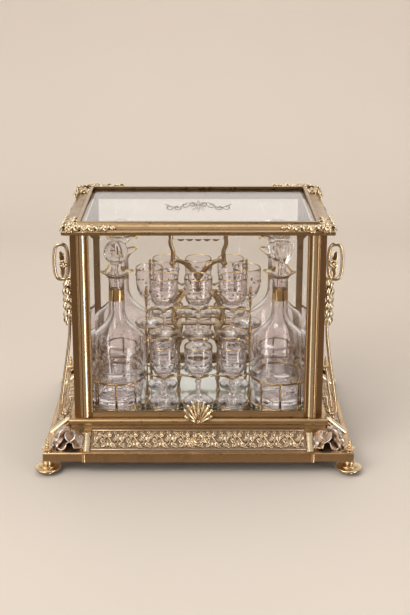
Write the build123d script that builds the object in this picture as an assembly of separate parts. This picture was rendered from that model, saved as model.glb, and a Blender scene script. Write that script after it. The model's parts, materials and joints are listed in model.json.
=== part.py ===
from build123d import *
from math import cos, pi, radians, sin
import os

# Antique tantalus: a glazed gilt-bronze case on a splayed plinth, whose lid and front
# open together on rear hinges, over a lift-out rack of four decanters and sixteen glasses.
# Frame: X to the right, front towards -Y, Z up, origin on the bench under the middle.
# All sizes are in millimetres.

# ---- case and cover ----
case_w = 336.0          # over the corner posts
case_d = 220.0          # from the face of the front panel to the back of the rear posts
cover_h = 258.0         # from the top of the plinth to the under side of the lid
post = 12.0             # square corner posts
rear_post_w = 20.0      # width of the rear posts, with the stiles of the back
rail_t = 10.0           # thickness of the case rails
rail_h = 7.5            # height of the bottom rails
top_rail_h = 9.0        # height of the top rails
glass_t = 5.0           # bevelled side and back glass
bevel_w = 9.0           # width of a bevel on the glass
bevel_t = 1.6           # how much a bevel thins the glass
groove = 3.0            # how far each glass enters its frame
glass_gap = 0.2         # clearance of a glass in its groove
shut_gap = 0.3          # between the shut cover and the case
ring_out = 12.5         # middle of a side scroll's ring, out from the case
ring_drop = 41.5        # and down from the lid
ring_a, ring_b = 9.2, 24.0      # half width and half height of the ring
# ---- plinth ----
foot_h = 18.0
band_h = 12.0           # lower moulding
band_over = 39.0        # how far the lower moulding stands out from the case
band_ring = 24.0        # width of the lower moulding's ring
scotia_h = 24.0         # hollow-moulded body above the band
scotia_in = 11.0        # foot of the hollow, in from the band's edge
torus_h = 9.5
torus_over = 7.5        # how far the torus stands out from the case
torus_ring = 28.0       # width of the torus ring, under the posts
wall = 4.5              # wall of the plinth body
flange_t = 3.5          # flange that carries the floor
flange_in = 24.0        # how far the flange runs in from the case's outline
board_t = 6.0           # wooden floor board
breakfront = 2.5        # how far the middle of the band stands forward
frieze_half = 144.0     # half length of the front relief panel
side_frieze_half = 78.0
pilaster_r = 5.2
foot_in = 5.5           # feet and finials, in from the band's edge
foot_r = 17.3
stud_r = 2.0
finial_r = 7.2          # saucer of a corner finial
leaf_reach = 46.0       # length of a corner leaf along the plinth
# ---- cover ----
lid_over = 9.0          # how far the lid frame stands out from the case
lid_frame_w = 23.0      # width of the lid's moulding
ovolo_h = 6.5           # lower round of the lid's moulding
cove_h = 7.5            # hollow above it
panel_t = 7.0           # front panel's stiles and rail
stile_w = 16.0          # width of a stile
bead_r = 3.7            # bead down each stile
bead_in = 13.0          # bead's axis, in from the case's side
front_glass_t = 4.0
front_rail_h = 7.5
pull_w = 40.0           # palmette pull
pull_h = 31.0
mount_arm = 66.0        # length of a front corner mount along the lid
mount_arm_rear = 50.0
mount_in = 11.0         # middle of a corner mount, in from the lid's edge
mount_side = 32.0       # how much shorter a mount's side arm is
mount_bar = 6.0         # width of an arm under its lobes
cover_open = 115.0      # degrees
# ---- hinge ----
knuckle_r = 3.5
pin_r = 1.3
pin_gap = 0.05
hinge_w = 36.0
hinge_x = 105.0         # hinges, out from the middle
knuckle_gap = 0.3
leaf_t = 2.0
# ---- lock ----
bolt_w, bolt_t = 10.0, 3.0
bolt_throw = 3.4
bolt_gap = 0.3
keeper_half = 12.0      # half length of the middle of the front rail, which takes the bolt
# ---- rack ----
tray_t = 2.4
tray_gap = 0.3          # tray over the mirror floor
rack_y = -3.0           # middle of the rack, forward of the case's middle
front_clear = 11.0      # between the front panel and the decanters
side_clear = 5.5        # between the side glass and the decanters
ware_link = 10.0        # between the two decanters of a side
cradle_rod = 1.3        # radius of the cradle wire
cradle_gap = 0.7        # between a cradle and its decanter
cradle_foot_r = 3.0
cradle_leg_out = 0.8    # axis of a cradle's leg, out from its ring
cradle_z = 36.0         # cradle ring above the tray
shelf_z = 94.5          # top of the glass shelf above the tray
shelf_t = 2.5
shelf_bar_w = 8.0       # bars between the shelf's pads
ear_r = 3.4             # pads of the tray round the cradles' feet
shelf_ear_r = 4.4       # pads of the shelf round the balusters
pad_in = 1.0            # shelf pad, in from the edge of a glass's foot
column_r = 1.6
leg_r = 2.0             # lyre legs and the plain columns under them
baluster_gap = 0.5      # between a baluster and the ware on both sides of it
baluster_h = 169.0      # above the tray, to the middle of the top bead
gallery_rod = 1.4
lower_gallery_z = 43.0  # above the tray
upper_gallery_z = 135.0
lower_gallery_in = 2.5  # a lower rail's bulge, in from the rims of its row of glasses
upper_gallery_in = 4.5
gallery_dip = 8.0       # depth of a scallop
handle_w = 76.0
handle_rod = 3.2
stem_r = 4.8
knob_r = 5.2
grip_r = 4.2            # scallops of the grip
handle_bar_z = 142.0    # cross bar above the tray
handle_top_z = 222.0    # grip above the tray
# ---- glassware ----
glass_h = 83.0          # stemmed glass
glass_wall = 1.3
rim_in = 2.0            # rim of a glass, in from the edge of its foot
glass_space = 4.0       # between the feet of two glasses in a row
ware_space = 1.5        # between a glass's foot and a decanter
lower_row_out = 12.0    # lower rows, out from the decanters' middles
lower_mid_in = 60.0     # their middle glasses, in from the decanters
lift_clear = 0.4        # round a decanter as it lifts past the shelf and its glasses
body_h = 86.0           # decanter, to the turn of the shoulder
base_in = 9.0           # how much narrower it is at its base
base_turn = 5.0         # height of the round of its base
belly_in = 9.0          # its widest place, below the turn of the shoulder
neck_r = 11.0
neck_bore = 8.0
mouth_z = 190.0         # top of the decanter's mouth
mouth_h = 12.0          # height of its flare
decanter_wall = 3.0
mouth_a, mouth_b = 24.0, 16.0
peg_gap = 0.4
stopper_r = 17.0
stopper_up = 23.0       # middle of a ball stopper, above the mouth
seat_gap = 0.3          # under glassware that stands on the rack

# ---- levels and outlines worked out from the sizes above ----
band_z = foot_h
body_z = band_z + band_h
torus_z = body_z + scotia_h
top_z = torus_z + torus_h
case_h = cover_h - shut_gap                     # posts and rails
lid_z = top_z + case_h + shut_gap
lid_h = ovolo_h + cove_h
half_w, half_d = case_w / 2, case_d / 2
panel_back = -half_d + panel_t
front_post_y = panel_back + 0.5
band_w, band_d = case_w + 2 * band_over, case_d + 2 * band_over
foot_x, foot_y = band_w / 2 - foot_in, band_d / 2 - foot_in
lid_w, lid_d = case_w + 2 * lid_over, case_d + 2 * lid_over
axis_y = lid_d / 2 + knuckle_r + 0.5
axis_z = lid_z
tray_z = top_z + tray_gap
tray_top = tray_z + tray_t
ware_z = tray_top + seat_gap
shelf_top = tray_top + shelf_z
bead_x = half_w - bead_in
stile_in = half_w - bead_in - bead_r - stile_w + 2 * bead_r
slope_out, slope_in = band_over - 5.0, torus_over - 1.5    # frieze slope's foot and head
frieze_top = torus_z - 4.5
head_over = torus_over - 3.0                    # neck of the plinth, under the torus
head_z = torus_z - flange_t - 1.0
lock_y = -half_d + panel_t / 2
side_in = half_w - post / 2 - glass_t / 2       # inner face of the side glass
rack_front = half_d - panel_t - front_clear + rack_y
body_r = (rack_front - ware_link / 2) / 2       # the four decanters fill the case's depth
decanter_x = side_in - side_clear - body_r
decanter_y = body_r + ware_link / 2
base_r = body_r - base_in
belly_z = body_h - belly_in
waist_r = base_r + base_in * (cradle_z - base_turn) / (belly_z - base_turn)     # at its cradle
cradle_r = waist_r + cradle_gap + cradle_rod
glass_foot_r = (decanter_x - body_r - ware_space - glass_space) / 3
glass_pitch = 2 * glass_foot_r + glass_space
rim_r = glass_foot_r - rim_in
pad_r = glass_foot_r - pad_in
lower_row_y, upper_row_y = decanter_y + lower_row_out, 2 * glass_foot_r
lower_mid_x = decanter_x - lower_mid_in
upper_mid_x = decanter_x - ((body_r + lift_clear + glass_foot_r) ** 2 - decanter_y ** 2) ** 0.5
baluster_x = glass_pitch + glass_foot_r + baluster_gap + column_r
baluster_y = decanter_y + ((body_r + baluster_gap + column_r) ** 2 - (decanter_x - baluster_x) ** 2) ** 0.5
leg_x, leg_y = 0.6 * glass_pitch, upper_row_y / 2   # between four glasses of the shelf


def block(x0, x1, y0, y1, z0, z1):
    """A box between two corners."""
    size = Box(x1 - x0, y1 - y0, z1 - z0)
    return Pos((x0 + x1) / 2, (y0 + y1) / 2, (z0 + z1) / 2) * size


def mirrors(shape, in_x=True, in_y=True):
    """The shape and its mirror images across the middle planes."""
    out = [shape]
    if in_x:
        out.append(mirror(shape, about=Plane.YZ))
    if in_y:
        out.append(mirror(shape, about=Plane.XZ))
    if in_x and in_y:
        out.append(Rot(0, 0, 180) * shape)
    return out


def turned(points, x=0.0, y=0.0, z=0.0):
    """A solid turned about Z from (radius, height) points."""
    face = make_face(Polyline([(r, 0, h) for r, h in points], close=True))
    return Pos(x, y, z) * revolve(face, Axis.Z)


def rod(a, b, r):
    """A round rod from a to b."""
    a, b = Vector(*a), Vector(*b)
    up = (Align.CENTER, Align.CENTER, Align.MIN)
    return Plane(origin=a, z_dir=b - a) * Cylinder(r, (b - a).length, align=up)


def chain(points, r):
    """Round rods through the points, with a ball at each turn."""
    parts = [rod(a, b, r) for a, b in zip(points, points[1:])]
    parts += [Pos(*p) * Sphere(r) for p in points[1:-1]]
    return parts


def ring(x, y, z, radius, r):
    return Pos(x, y, z) * Torus(radius, r)


def joined(parts):
    first, *rest = parts
    return first.fuse(*rest) if rest else first


def slab(over, z0, z1):
    """A block as large as the case's outline plus a margin."""
    return block(-half_w - over, half_w + over, -half_d - over, half_d + over, z0, z1)


def steps(points):
    """Stacked frusta about the case's outline, from (margin, height) points."""
    parts = []
    for (o0, z0), (o1, z1) in zip(points, points[1:]):
        low = Pos(0, 0, z0) * Rectangle(case_w + 2 * o0, case_d + 2 * o0)
        high = Pos(0, 0, z1) * Rectangle(case_w + 2 * o1, case_d + 2 * o1)
        parts.append(loft([low, high]))
    return joined(parts)


def rounded(over, z0, z1, r):
    """A slab with its long upper and lower edges rounded, as a torus moulding."""
    body = slab(over, z0, z1)
    edges = body.faces().sort_by(Axis.Z)[0].edges() + body.faces().sort_by(Axis.Z)[-1].edges()
    return fillet(edges, r)


def hole(shape, over, z0, z1):
    return shape - slab(over, z0, z1)


def save(node, solids, y=0.0):
    shape = Pos(0, y, 0) * Compound(children=[s for item in solids for s in item.solids()])
    export_step(shape, f"parts/{node}.step")


# ---------------------------------------------------------------- plinth

def plinth_band():
    band = slab(band_over, band_z, body_z)
    band = chamfer(band.faces().sort_by(Axis.Z)[-1].edges(), 1.2)
    half = frieze_half + 2 * pilaster_r - 2
    y = half_d + band_over
    front = block(-half, half, -y - breakfront, -y + 1, band_z, body_z - 0.6)
    beads = [rod((s * half, -y - 0.6, band_z), (s * half, -y - 0.6, body_z - 0.4), 2.6) for s in (-1, 1)]
    shape = joined([band, front, *beads])
    shape = hole(shape, band_over - band_ring, band_z - 1, body_z + 1)
    for px in (-foot_x, foot_x):
        for py in (-foot_y, foot_y):
            shape -= Pos(px, py, band_z + band_h / 2) * Cylinder(stud_r, band_h + 2)
    return shape


def scotia_points(out, head, z0, z1, count=5):
    """A hollow quarter curve from (out, z0) up to (head, z1)."""
    turns = [pi / 2 * i / count for i in range(count + 1)]
    return [(out - (out - head) * sin(t), z0 + (z1 - z0) * (1 - cos(t))) for t in turns]


def plinth_solid():
    """The plinth body's outside, which the friezes and leaves lie against."""
    hollow = steps(scotia_points(band_over - scotia_in, head_over, body_z, head_z))
    return hollow.fuse(slab(head_over, head_z, torus_z))


def plinth_body(outline):
    body = hole(outline, head_over - wall, body_z - 1, torus_z - flange_t)
    body = hole(body, -flange_in, body_z - 1, torus_z + 1)
    return body - lock_block() - bolt_slot(body_z, torus_z + 1)


def bolt_slot(z0, z1, gap=bolt_gap):
    y = lock_y
    return block(-bolt_w / 2 - gap, bolt_w / 2 + gap, y - bolt_t / 2 - gap, y + bolt_t / 2 + gap, z0, z1)


def plinth_torus():
    shape = rounded(torus_over, torus_z, top_z, torus_h / 2 - 0.3)
    shape = hole(shape, torus_over - torus_ring, torus_z - 1, top_z + 1)
    return shape - bolt_slot(torus_z - 1, top_z + 1)


def frieze_wedge(along, half, outline):
    """A sloped panel on one side of the plinth: along is the side's half depth or width."""
    low, high = body_z, frieze_top
    pts = [(-along - slope_out, low), (-along - slope_in, high), (-along + 2, high), (-along + 2, low)]
    face = make_face(Polyline([(-half, y, z) for y, z in pts], close=True))
    return extrude(face, amount=2 * half, dir=(1, 0, 0)) - outline


def key_cut(grow=0.0):
    """A keyhole through the front frieze, square to its slope."""
    y = -half_d - (slope_out + slope_in) / 2
    z = (body_z + frieze_top) / 2
    turn = Plane(origin=(0, y, z), z_dir=(0, -(frieze_top - body_z), slope_out - slope_in))
    pin = Pos(0, 1.6, 0) * Cylinder(1.7 + grow, 16)
    slot = Pos(0, -1.6, 0) * Box(1.5 + 2 * grow, 5.0, 16)
    return turn * (pin + slot)


def plinth_friezes(outline):
    front = frieze_wedge(half_d, frieze_half, outline)
    back = mirror(front, about=Plane.XZ)
    right = Rot(0, 0, 90) * frieze_wedge(half_w, side_frieze_half, Rot(0, 0, -90) * outline)
    left = mirror(right, about=Plane.YZ)
    return [front - key_cut(), back, right, left]


def frieze_pilasters(outline):
    """Half-round pilasters at the ends of each frieze, lying on its slope."""
    foot_in_x = frieze_half + pilaster_r + 0.1
    foot_in_y = side_frieze_half + pilaster_r + 0.1
    top = torus_z - 3.0
    stop = slab(head_over, body_z, torus_z)

    def leaning(place, along):
        a = (place, -along - slope_out - 0.5, body_z - 2)
        b = (place, -along - slope_in - 0.5, top)
        bar = rod(a, b, pilaster_r) & block(place - 9, place + 9, -along - 60, -along, body_z, top - 2)
        return bar

    front = leaning(foot_in_x, half_d) - outline - stop
    side = Rot(0, 0, 90) * leaning(foot_in_y, half_w) - outline - stop
    return mirrors(front) + mirrors(side)


def corner_leaves(outline):
    """A three-lobed leaf lapped round each corner of the plinth body."""
    x, y = half_w + torus_over, half_d + torus_over
    z0, z1 = body_z, torus_z
    lobes = []
    for turn, length, width in ((-52, 1.0, 11.0), (0, 0.62, 12.0), (52, 1.0, 11.0)):
        a = radians(225 + turn)
        tip = (x + 12 + leaf_reach * 0.62 * length * cos(a) * (1 if turn else -0.4),
               y + 12 + leaf_reach * 0.62 * length * sin(a) * (1 if turn else -0.4), z0 + 5)
        lobes.append(rod((x + 7, y + 7, z1 - 9), tip, width * 0.62))
        lobes.append(Pos(*tip) * Sphere(width * 0.62))
    lobes.append(Pos(x + 7, y + 7, z1 - 9) * Sphere(8.0))
    clear = 2 * pilaster_r + 0.5
    leaf = joined(lobes) & block(frieze_half + clear, half_w + band_over, side_frieze_half + clear,
                                 half_d + band_over, z0, z1)
    leaf = leaf - outline - slab(torus_over + 0.2, torus_z - 1, top_z)
    leaf = leaf - Pos(foot_x, foot_y, z0) * Cylinder(finial_r + 0.3, 2 * z1)
    body = leaf.solids().sort_by(SortBy.VOLUME)[-1]
    return mirrors(body)


def feet():
    profile = [(0, 0), (8, 0), (8.6, 1.6), (8.0, 3.4), (11, 4.6), (foot_r - 1, 6.0), (foot_r, 7.6),
               (foot_r - 1, 9.2), (12, 10.4), (9.5, 12.2), (6.4, 13.4), (6.4, 14.6), (7.6, 15.4),
               (7.6, foot_h), (0, foot_h)]
    bore = Pos(0, 0, foot_h - 4) * Cylinder(stud_r, 8.01)
    return mirrors(Pos(foot_x, foot_y, 0) * (turned(profile) - bore))


def foot_studs():
    z0, z1 = foot_h - 8, body_z + 6
    return mirrors(rod((foot_x, foot_y, z0), (foot_x, foot_y, z1), stud_r))


def finials():
    profile = [(0, 0), (4.8, 0), (4.4, 1.4), (2.8, 2.6), (3.0, 3.6), (finial_r, 5.0), (finial_r, 5.8),
               (3.2, 6.6),
               (2.4, 8.0), (3.0, 10.0), (2.2, 12.0), (2.7, 14.0), (1.8, 16.4), (0.9, 19.4), (0, 20)]
    bore = Pos(0, 0, 3) * Cylinder(stud_r, 6.01)
    return mirrors(Pos(foot_x, foot_y, body_z) * (turned(profile) - bore))


def escutcheon():
    y = -half_d - (slope_out + slope_in) / 2
    z = (body_z + frieze_top) / 2
    turn = Plane(origin=(0, y, z), z_dir=(0, -(frieze_top - body_z), slope_out - slope_in))
    disc = Pos(0, 0, 1.0) * Cylinder(8.0, 2.0)
    return turn * disc - key_cut(0.2)


def lock_block():
    z1 = torus_z - flange_t
    return block(-18, 18, lock_y - 4.5, lock_y + 8, z1 - 16, z1)


def lock_case():
    z1 = torus_z - flange_t
    return lock_block() - bolt_slot(z1 - 13, z1 + 1)


def lock_bolt():
    z0 = torus_z - flange_t - 12
    return block(-bolt_w / 2, bolt_w / 2, lock_y - bolt_t / 2, lock_y + bolt_t / 2, z0, top_z - 0.3)


def floor_board():
    return slab(torus_over - torus_ring - 0.2, torus_z, torus_z + board_t)


def floor_mirror():
    return slab(torus_over - torus_ring - 0.2, torus_z + board_t, top_z)


# ---------------------------------------------------------------- case

def glass_plate(w, h, t):
    """A plate with a wide bevel round its upper face."""
    low = Rectangle(w, h)
    mid = Pos(0, 0, t - bevel_t) * Rectangle(w, h)
    top = Pos(0, 0, t) * Rectangle(w - 2 * bevel_w, h - 2 * bevel_w)
    return loft([low, mid]).fuse(loft([mid, top]))


def side_glass(grow=0.0):
    """Right-hand glass, bevelled on its outside."""
    y0, y1 = front_post_y + post - groove, half_d - post + groove
    z0, z1 = top_z + rail_h - groove, top_z + case_h - top_rail_h + groove
    if grow:
        x = half_w - post / 2
        return block(x - glass_t / 2 - grow, x + glass_t / 2 + grow, y0 - grow, y1 + grow, z0 - grow,
                     z1 + grow)
    plate = Plane(origin=(half_w - post / 2 - glass_t / 2, (y0 + y1) / 2, (z0 + z1) / 2),
                  x_dir=(0, 1, 0), z_dir=(1, 0, 0)) * glass_plate(y1 - y0, z1 - z0, glass_t)
    return plate


def back_glass(grow=0.0):
    x1 = half_w - rear_post_w + groove
    z0, z1 = top_z + rail_h - groove, top_z + case_h - top_rail_h + groove
    y = half_d - post / 2
    if grow:
        out = glass_t / 2 + grow
        return block(-x1 - grow, x1 + grow, y - out, y + out, z0 - grow, z1 + grow)
    return Plane(origin=(0, y - glass_t / 2, (z0 + z1) / 2), x_dir=(-1, 0, 0),
                 z_dir=(0, 1, 0)) * glass_plate(2 * x1, z1 - z0, glass_t)


def case_posts():
    z0, z1 = top_z, top_z + case_h
    front = block(half_w - post, half_w, front_post_y, front_post_y + post, z0, z1)
    rear = block(half_w - rear_post_w, half_w, half_d - post, half_d, z0, z1)
    cut = side_glass(glass_gap).fuse(back_glass(glass_gap))
    rear = chamfer(rear.edges().filter_by(Axis.Z).sort_by(Axis.Y)[-1], 2.0)
    posts = [front - cut, rear - cut]
    return [p for s in posts for p in mirrors(s, in_y=False)]


def case_rails():
    x0, x1 = half_w - post / 2 - rail_t / 2, half_w - post / 2 + rail_t / 2
    y0, y1 = front_post_y + post, half_d - post
    by = half_d - post / 2
    bottom, top = (top_z, top_z + rail_h), (top_z + case_h - top_rail_h, top_z + case_h)
    rails = []
    for z0, z1 in (bottom, top):
        side = block(x0, x1, y0, y1, z0, z1) - side_glass(glass_gap)
        rails += mirrors(side, in_y=False)
        x = half_w - rear_post_w
        rails.append(block(-x, x, by - rail_t / 2, by + rail_t / 2, z0, z1)
                     - back_glass(glass_gap))
    return rails


def side_scrolls():
    """Openwork console beside each corner post: ring, husk drop and looped strap."""
    y = front_post_y + post / 2
    cx, cz = half_w + ring_out, lid_z - ring_drop
    a, b, r = ring_a, ring_b, 1.9
    sides = []
    for s in (-1, 1):
        path = ThreePointArc((cx + s * a * 0.72, y, cz - b * 0.7), (cx + s * a, y, cz),
                             (cx + s * a * 0.72, y, cz + b * 0.7))
        end = ThreePointArc((cx - a * 0.72, y, cz + s * b * 0.7), (cx, y, cz + s * b),
                            (cx + a * 0.72, y, cz + s * b * 0.7))
        for arc in (path, end):
            face = Plane(origin=arc @ 0, z_dir=arc % 0) * Circle(r)
            sides.append(sweep(face, path=arc))
            sides += [Pos(*(arc @ t)) * Sphere(r) for t in (0, 1)]
    flower = [Pos(cx, y, cz - 2) * Sphere(4.6), rod((cx, y, cz - b), (cx, y, cz), 1.5)]
    hx = half_w + 5.0
    husks = []
    for i in range(4):
        top = cz - b - 3 - i * 15.0
        husks.append(turned([(0, 0), (2.0, 0), (4.4, -6), (4.6, -9), (1.6, -15.2), (0, -15.2)], hx, y, top))
    foot = top_z
    strap = chain([(hx, y, cz - b - 60), (hx + 2.5, y, foot + 95), (hx + 8, y, foot + 58),
                   (hx + 12.8, y, foot + 26), (hx + 15.2, y, foot + 9), (hx + 14.4, y, foot + 1.5),
                   (hx + 10.6, y, foot - 2.5), (hx + 7.0, y, foot + 1.0), (hx + 4.2, y, foot + 8),
                   (hx + 1.2, y, foot + 24)], 1.9)
    bar = chain([(hx - 0.6, y, foot + 66), (hx + 3.4, y, foot + 38), (hx + 8.2, y, foot + 10)], 1.5)
    ties = [rod((half_w, y, cz - b + 1), (cx, y, cz - b + 1), 1.8),
            rod((half_w, y, foot + 66), (hx + 7, y, foot + 66), 1.5),
            rod((half_w, y, foot + 24), (hx + 12.8, y, foot + 24), 1.5),
            rod((hx + 10.6, y, foot - 2.5), (hx + 10.6, y, foot - 8), 2.2),
            rod((hx, y, cz - b + 1), (hx, y, cz - b - 6), 2.0)]
    scroll = joined(sides + flower + husks + strap + bar + ties) - slab(0, 0, lid_z)
    scroll = scroll - slab(torus_over + 0.1, torus_z - 1, top_z)
    return mirrors(scroll.solids().sort_by(SortBy.VOLUME)[-1], in_y=False) + \
        mirrors(Pos(0, half_d - post / 2 - y, 0) * scroll.solids().sort_by(SortBy.VOLUME)[-1], in_y=False)


# ---------------------------------------------------------------- hinges

def knuckle(x0, x1, bore):
    tube = rod((x0, axis_y, axis_z), (x1, axis_y, axis_z), knuckle_r)
    return tube - rod((x0 - 1, axis_y, axis_z), (x1 + 1, axis_y, axis_z), bore)


def hinge_leaves_case():
    leaves = []
    third = hinge_w / 3
    for s in (-1, 1):
        x = s * hinge_x
        ends = [knuckle(x - hinge_w / 2, x - third / 2 - knuckle_gap, pin_r),
                knuckle(x + third / 2 + knuckle_gap, x + hinge_w / 2, pin_r)]
        z1 = lid_z - shut_gap
        arms = [block(x - hinge_w / 2, x - third / 2 - knuckle_gap, half_d, axis_y - 1, z1 - leaf_t, z1),
                block(x + third / 2 + knuckle_gap, x + hinge_w / 2, half_d, axis_y - 1, z1 - leaf_t, z1)]
        plate = block(x - hinge_w / 2, x + hinge_w / 2, half_d, half_d + leaf_t, z1 - 9, z1)
        pin = rod((x - hinge_w / 2 - 1, axis_y, axis_z), (x + hinge_w / 2 + 1, axis_y, axis_z), pin_r)
        leaves.append(joined([*ends, *arms, plate]) - pin)
    return leaves


def hinge_leaves_lid():
    leaves = []
    half = hinge_w / 6
    for s in (-1, 1):
        x = s * hinge_x
        plate = block(x - half, x + half, lid_d / 2, lid_d / 2 + leaf_t, lid_z + 0.5, lid_z + ovolo_h + 1)
        neck = block(x - half, x + half, lid_d / 2, axis_y, lid_z + 1.5, lid_z + 3.5)
        barrel = knuckle(x - half, x + half, pin_r + pin_gap)
        bore = rod((x - half - 1, axis_y, axis_z), (x + half + 1, axis_y, axis_z), pin_r + pin_gap)
        leaves.append(joined([barrel, plate, neck]) - bore)
    return leaves


def hinge_pins():
    pins = []
    for s in (-1, 1):
        x = s * hinge_x
        half = hinge_w / 2 + 0.8
        pins.append(rod((x - half, axis_y, axis_z), (x + half, axis_y, axis_z), pin_r))
    return pins


# ---------------------------------------------------------------- cover

def lid_glass(grow=0.0):
    w = lid_w - 2 * lid_frame_w + 2 * groove
    d = lid_d - 2 * lid_frame_w + 2 * groove
    z = lid_z + ovolo_h - 1.5
    if grow:
        return Pos(0, 0, z + glass_t / 2) * Box(w + 2 * grow, d + 2 * grow, glass_t + 2 * grow)
    return Pos(0, 0, z) * glass_plate(w, d, glass_t)


def front_glass(grow=0.0):
    x1 = stile_in + groove
    z0, z1 = top_z + shut_gap + front_rail_h - groove, lid_z + groove - 1
    y = -half_d + panel_t / 2
    t = front_glass_t
    if grow:
        return block(-x1 - grow, x1 + grow, y - t / 2 - grow, y + t / 2 + grow, z0 - grow, z1 + grow)
    plate = Plane(origin=(0, y + t / 2, (z0 + z1) / 2), x_dir=(1, 0, 0), z_dir=(0, -1, 0))
    return plate * glass_plate(2 * x1, z1 - z0, t)


def lid_frame():
    """Moulded frame: a round below, a hollow above, mitred at the corners."""
    low = rounded(lid_over, lid_z, lid_z + ovolo_h, ovolo_h / 2 - 0.3)
    hollow = [(o, z) for o, z in scotia_points(lid_over - 2.5, lid_over - lid_frame_w + 4.0,
                                               lid_z + ovolo_h, lid_z + lid_h - 0.8, 4)]
    top = slab(lid_over - lid_frame_w + 4.0, lid_z + ovolo_h, lid_z + lid_h)
    frame = low.fuse(steps(hollow), top)
    frame = hole(frame, lid_over - lid_frame_w, lid_z - 1, lid_z + lid_h + 1)
    frame = frame - lid_glass(glass_gap) - front_glass(glass_gap)
    return frame


def lid_corner_mounts(frame):
    """Foliate mounts lapped over the lid's corners, longer on the front ones."""
    mounts = []
    for front, arm in ((-1, mount_arm), (1, mount_arm_rear)):
        cx, cy = lid_w / 2 - mount_in, front * (lid_d / 2 - mount_in)
        side = arm - mount_side
        half = mount_bar / 2
        lobes = [Pos(cx, cy, lid_z + 11) * Cylinder(9, 8)]
        for i in range(4):
            t = (i + 1) / 4
            r = 7.5 - 3.6 * t
            lobes.append(Pos(cx - t * (arm - 14), cy + front * 3 * (1 - t), lid_z + 10) * Cylinder(r, 8))
            lobes.append(Pos(cx + 3 * (1 - t), cy - front * t * (side + 2), lid_z + 10) * Cylinder(r, 8))
        lobes.append(block(cx - arm + 16, cx, cy - half, cy + half, lid_z + ovolo_h - 0.5, lid_z + lid_h - 1))
        lobes.append(block(cx - half, cx + half, min(cy, cy - front * side), max(cy, cy - front * side),
                           lid_z + ovolo_h - 0.5, lid_z + lid_h - 1))
        limit = slab(lid_over, lid_z + ovolo_h, lid_z + lid_h + 1.5)
        mount = (joined(lobes) & limit) - frame - lid_glass(glass_gap)
        mount = mount.solids().sort_by(SortBy.VOLUME)[-1]
        mounts += mirrors(mount, in_y=False)
    return mounts


def front_stiles():
    z0, z1 = top_z + shut_gap, lid_z
    flat = block(stile_in, half_w - post + 3, -half_d, panel_back, z0, z1)
    y, edge = -half_d + 0.4, stile_in + 1.2
    bead = rod((bead_x, y, z0), (bead_x, y, z1), bead_r)
    fillet_bead = rod((edge, y, z0 + front_rail_h), (edge, y, z1), 1.2)
    stile = joined([flat, bead, fillet_bead]) - front_glass(glass_gap)
    return mirrors(stile, in_y=False)


def front_rail():
    """Two moulded lengths with a keeper for the bolt between them."""
    z0 = top_z + shut_gap
    rail = block(-stile_in, stile_in, -half_d, panel_back, z0, z0 + front_rail_h)
    for i in (1, 2):
        z = z0 + i * front_rail_h / 3
        rail -= rod((-stile_in - 1, -half_d - 0.2, z), (stile_in + 1, -half_d - 0.2, z), 0.7)
    rail -= front_glass(glass_gap)
    keeper = block(-keeper_half, keeper_half, -half_d, panel_back, z0, z0 + front_rail_h)
    lengths = (rail - keeper).solids()
    return [*lengths, (rail & keeper) - bolt_slot(z0 - 1, z0 + bolt_throw + bolt_gap)]


def palmette_pull():
    """A fan of seven leaves rising from a bud: the thumb lift of the cover."""
    z0 = top_z + shut_gap + 1.0
    y = -half_d - 2.2
    parts = [Pos(0, y - 2.0, z0 + 3) * Sphere(4.0)]
    for i in range(-3, 4):
        a = radians(90 + i * 26)
        reach = pull_h * (0.86 - 0.09 * abs(i))
        end = (pull_w / 2 * 0.95 * cos(a) * (reach / pull_h) * 1.35, y - 2.4, z0 + 3 + (reach - 3) * sin(a))
        parts += [rod((0, y, z0 + 3), end, 1.9), Pos(*end) * Sphere(2.6)]
    back = block(-12, 12, -half_d - 2.4, -half_d, z0, z0 + front_rail_h - 2)
    drop = chain([(0, y - 2, z0 + 3), (0, -half_d - torus_over - 2.6, z0 - 2),
                  (0, -half_d - torus_over - 2.6, z0 - 8)], 1.8)
    pull = joined(parts + [back] + drop) - slab(0, 0, lid_z)
    return pull.solids().sort_by(SortBy.VOLUME)[-1]


# ---------------------------------------------------------------- rack

def lower_places():
    xs = (-glass_pitch, 0.0, glass_pitch)
    front = [(x, -lower_row_y) for x in xs]
    return front + [(-lower_mid_x, 0.0), (lower_mid_x, 0.0)] + [(x, lower_row_y) for x in xs]


def upper_places():
    xs = (-glass_pitch, 0.0, glass_pitch)
    front = [(x, -upper_row_y) for x in xs]
    return front + [(-upper_mid_x, 0.0), (upper_mid_x, 0.0)] + [(x, upper_row_y) for x in xs]


def decanter_places():
    return [(sx * decanter_x, sy * decanter_y) for sy in (-1, 1) for sx in (-1, 1)]


def disc(x, y, r, z0, t):
    return Pos(x, y, z0 + t / 2) * Cylinder(r, t)


def cradle_feet():
    """Where the cradle's legs stand: three round the outside of each decanter."""
    reach = cradle_r + cradle_leg_out
    turns = [radians(a) for a in (230, 270, 310)]
    front = [(decanter_x + reach * cos(a), -decanter_y + reach * sin(a)) for a in turns]
    right = front + [(x, -y) for x, y in front]
    return right + [(-x, y) for x, y in right]


def rack_tray():
    pads = [disc(x, y, body_r - 1.5, tray_z, tray_t) for x, y in decanter_places()]
    pads += [disc(x, y, glass_foot_r + 2, tray_z, tray_t) for x, y in lower_places()]
    ears = [disc(x, y, ear_r, tray_z, tray_t) for x, y in cradle_feet()]
    middle = block(-decanter_x, decanter_x, -lower_row_y, lower_row_y, tray_z, tray_top)
    return joined([middle, *pads, *ears])


def leg_points(sx, sy):
    """The lyre legs, from the cross bar down through the shelf to the tray."""
    z = tray_top
    flat = [(0.71, 0.33, handle_bar_z - 1), (1.07, 0.56, handle_bar_z - 16), (1.28, 0.88, shelf_z + 11.5),
            (1.03, 1.0, shelf_z), (1.0, 1.0, shelf_z - shelf_t)]
    return [(sx * a * leg_x, sy * b * leg_y, z + h) for a, b, h in flat]


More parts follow.
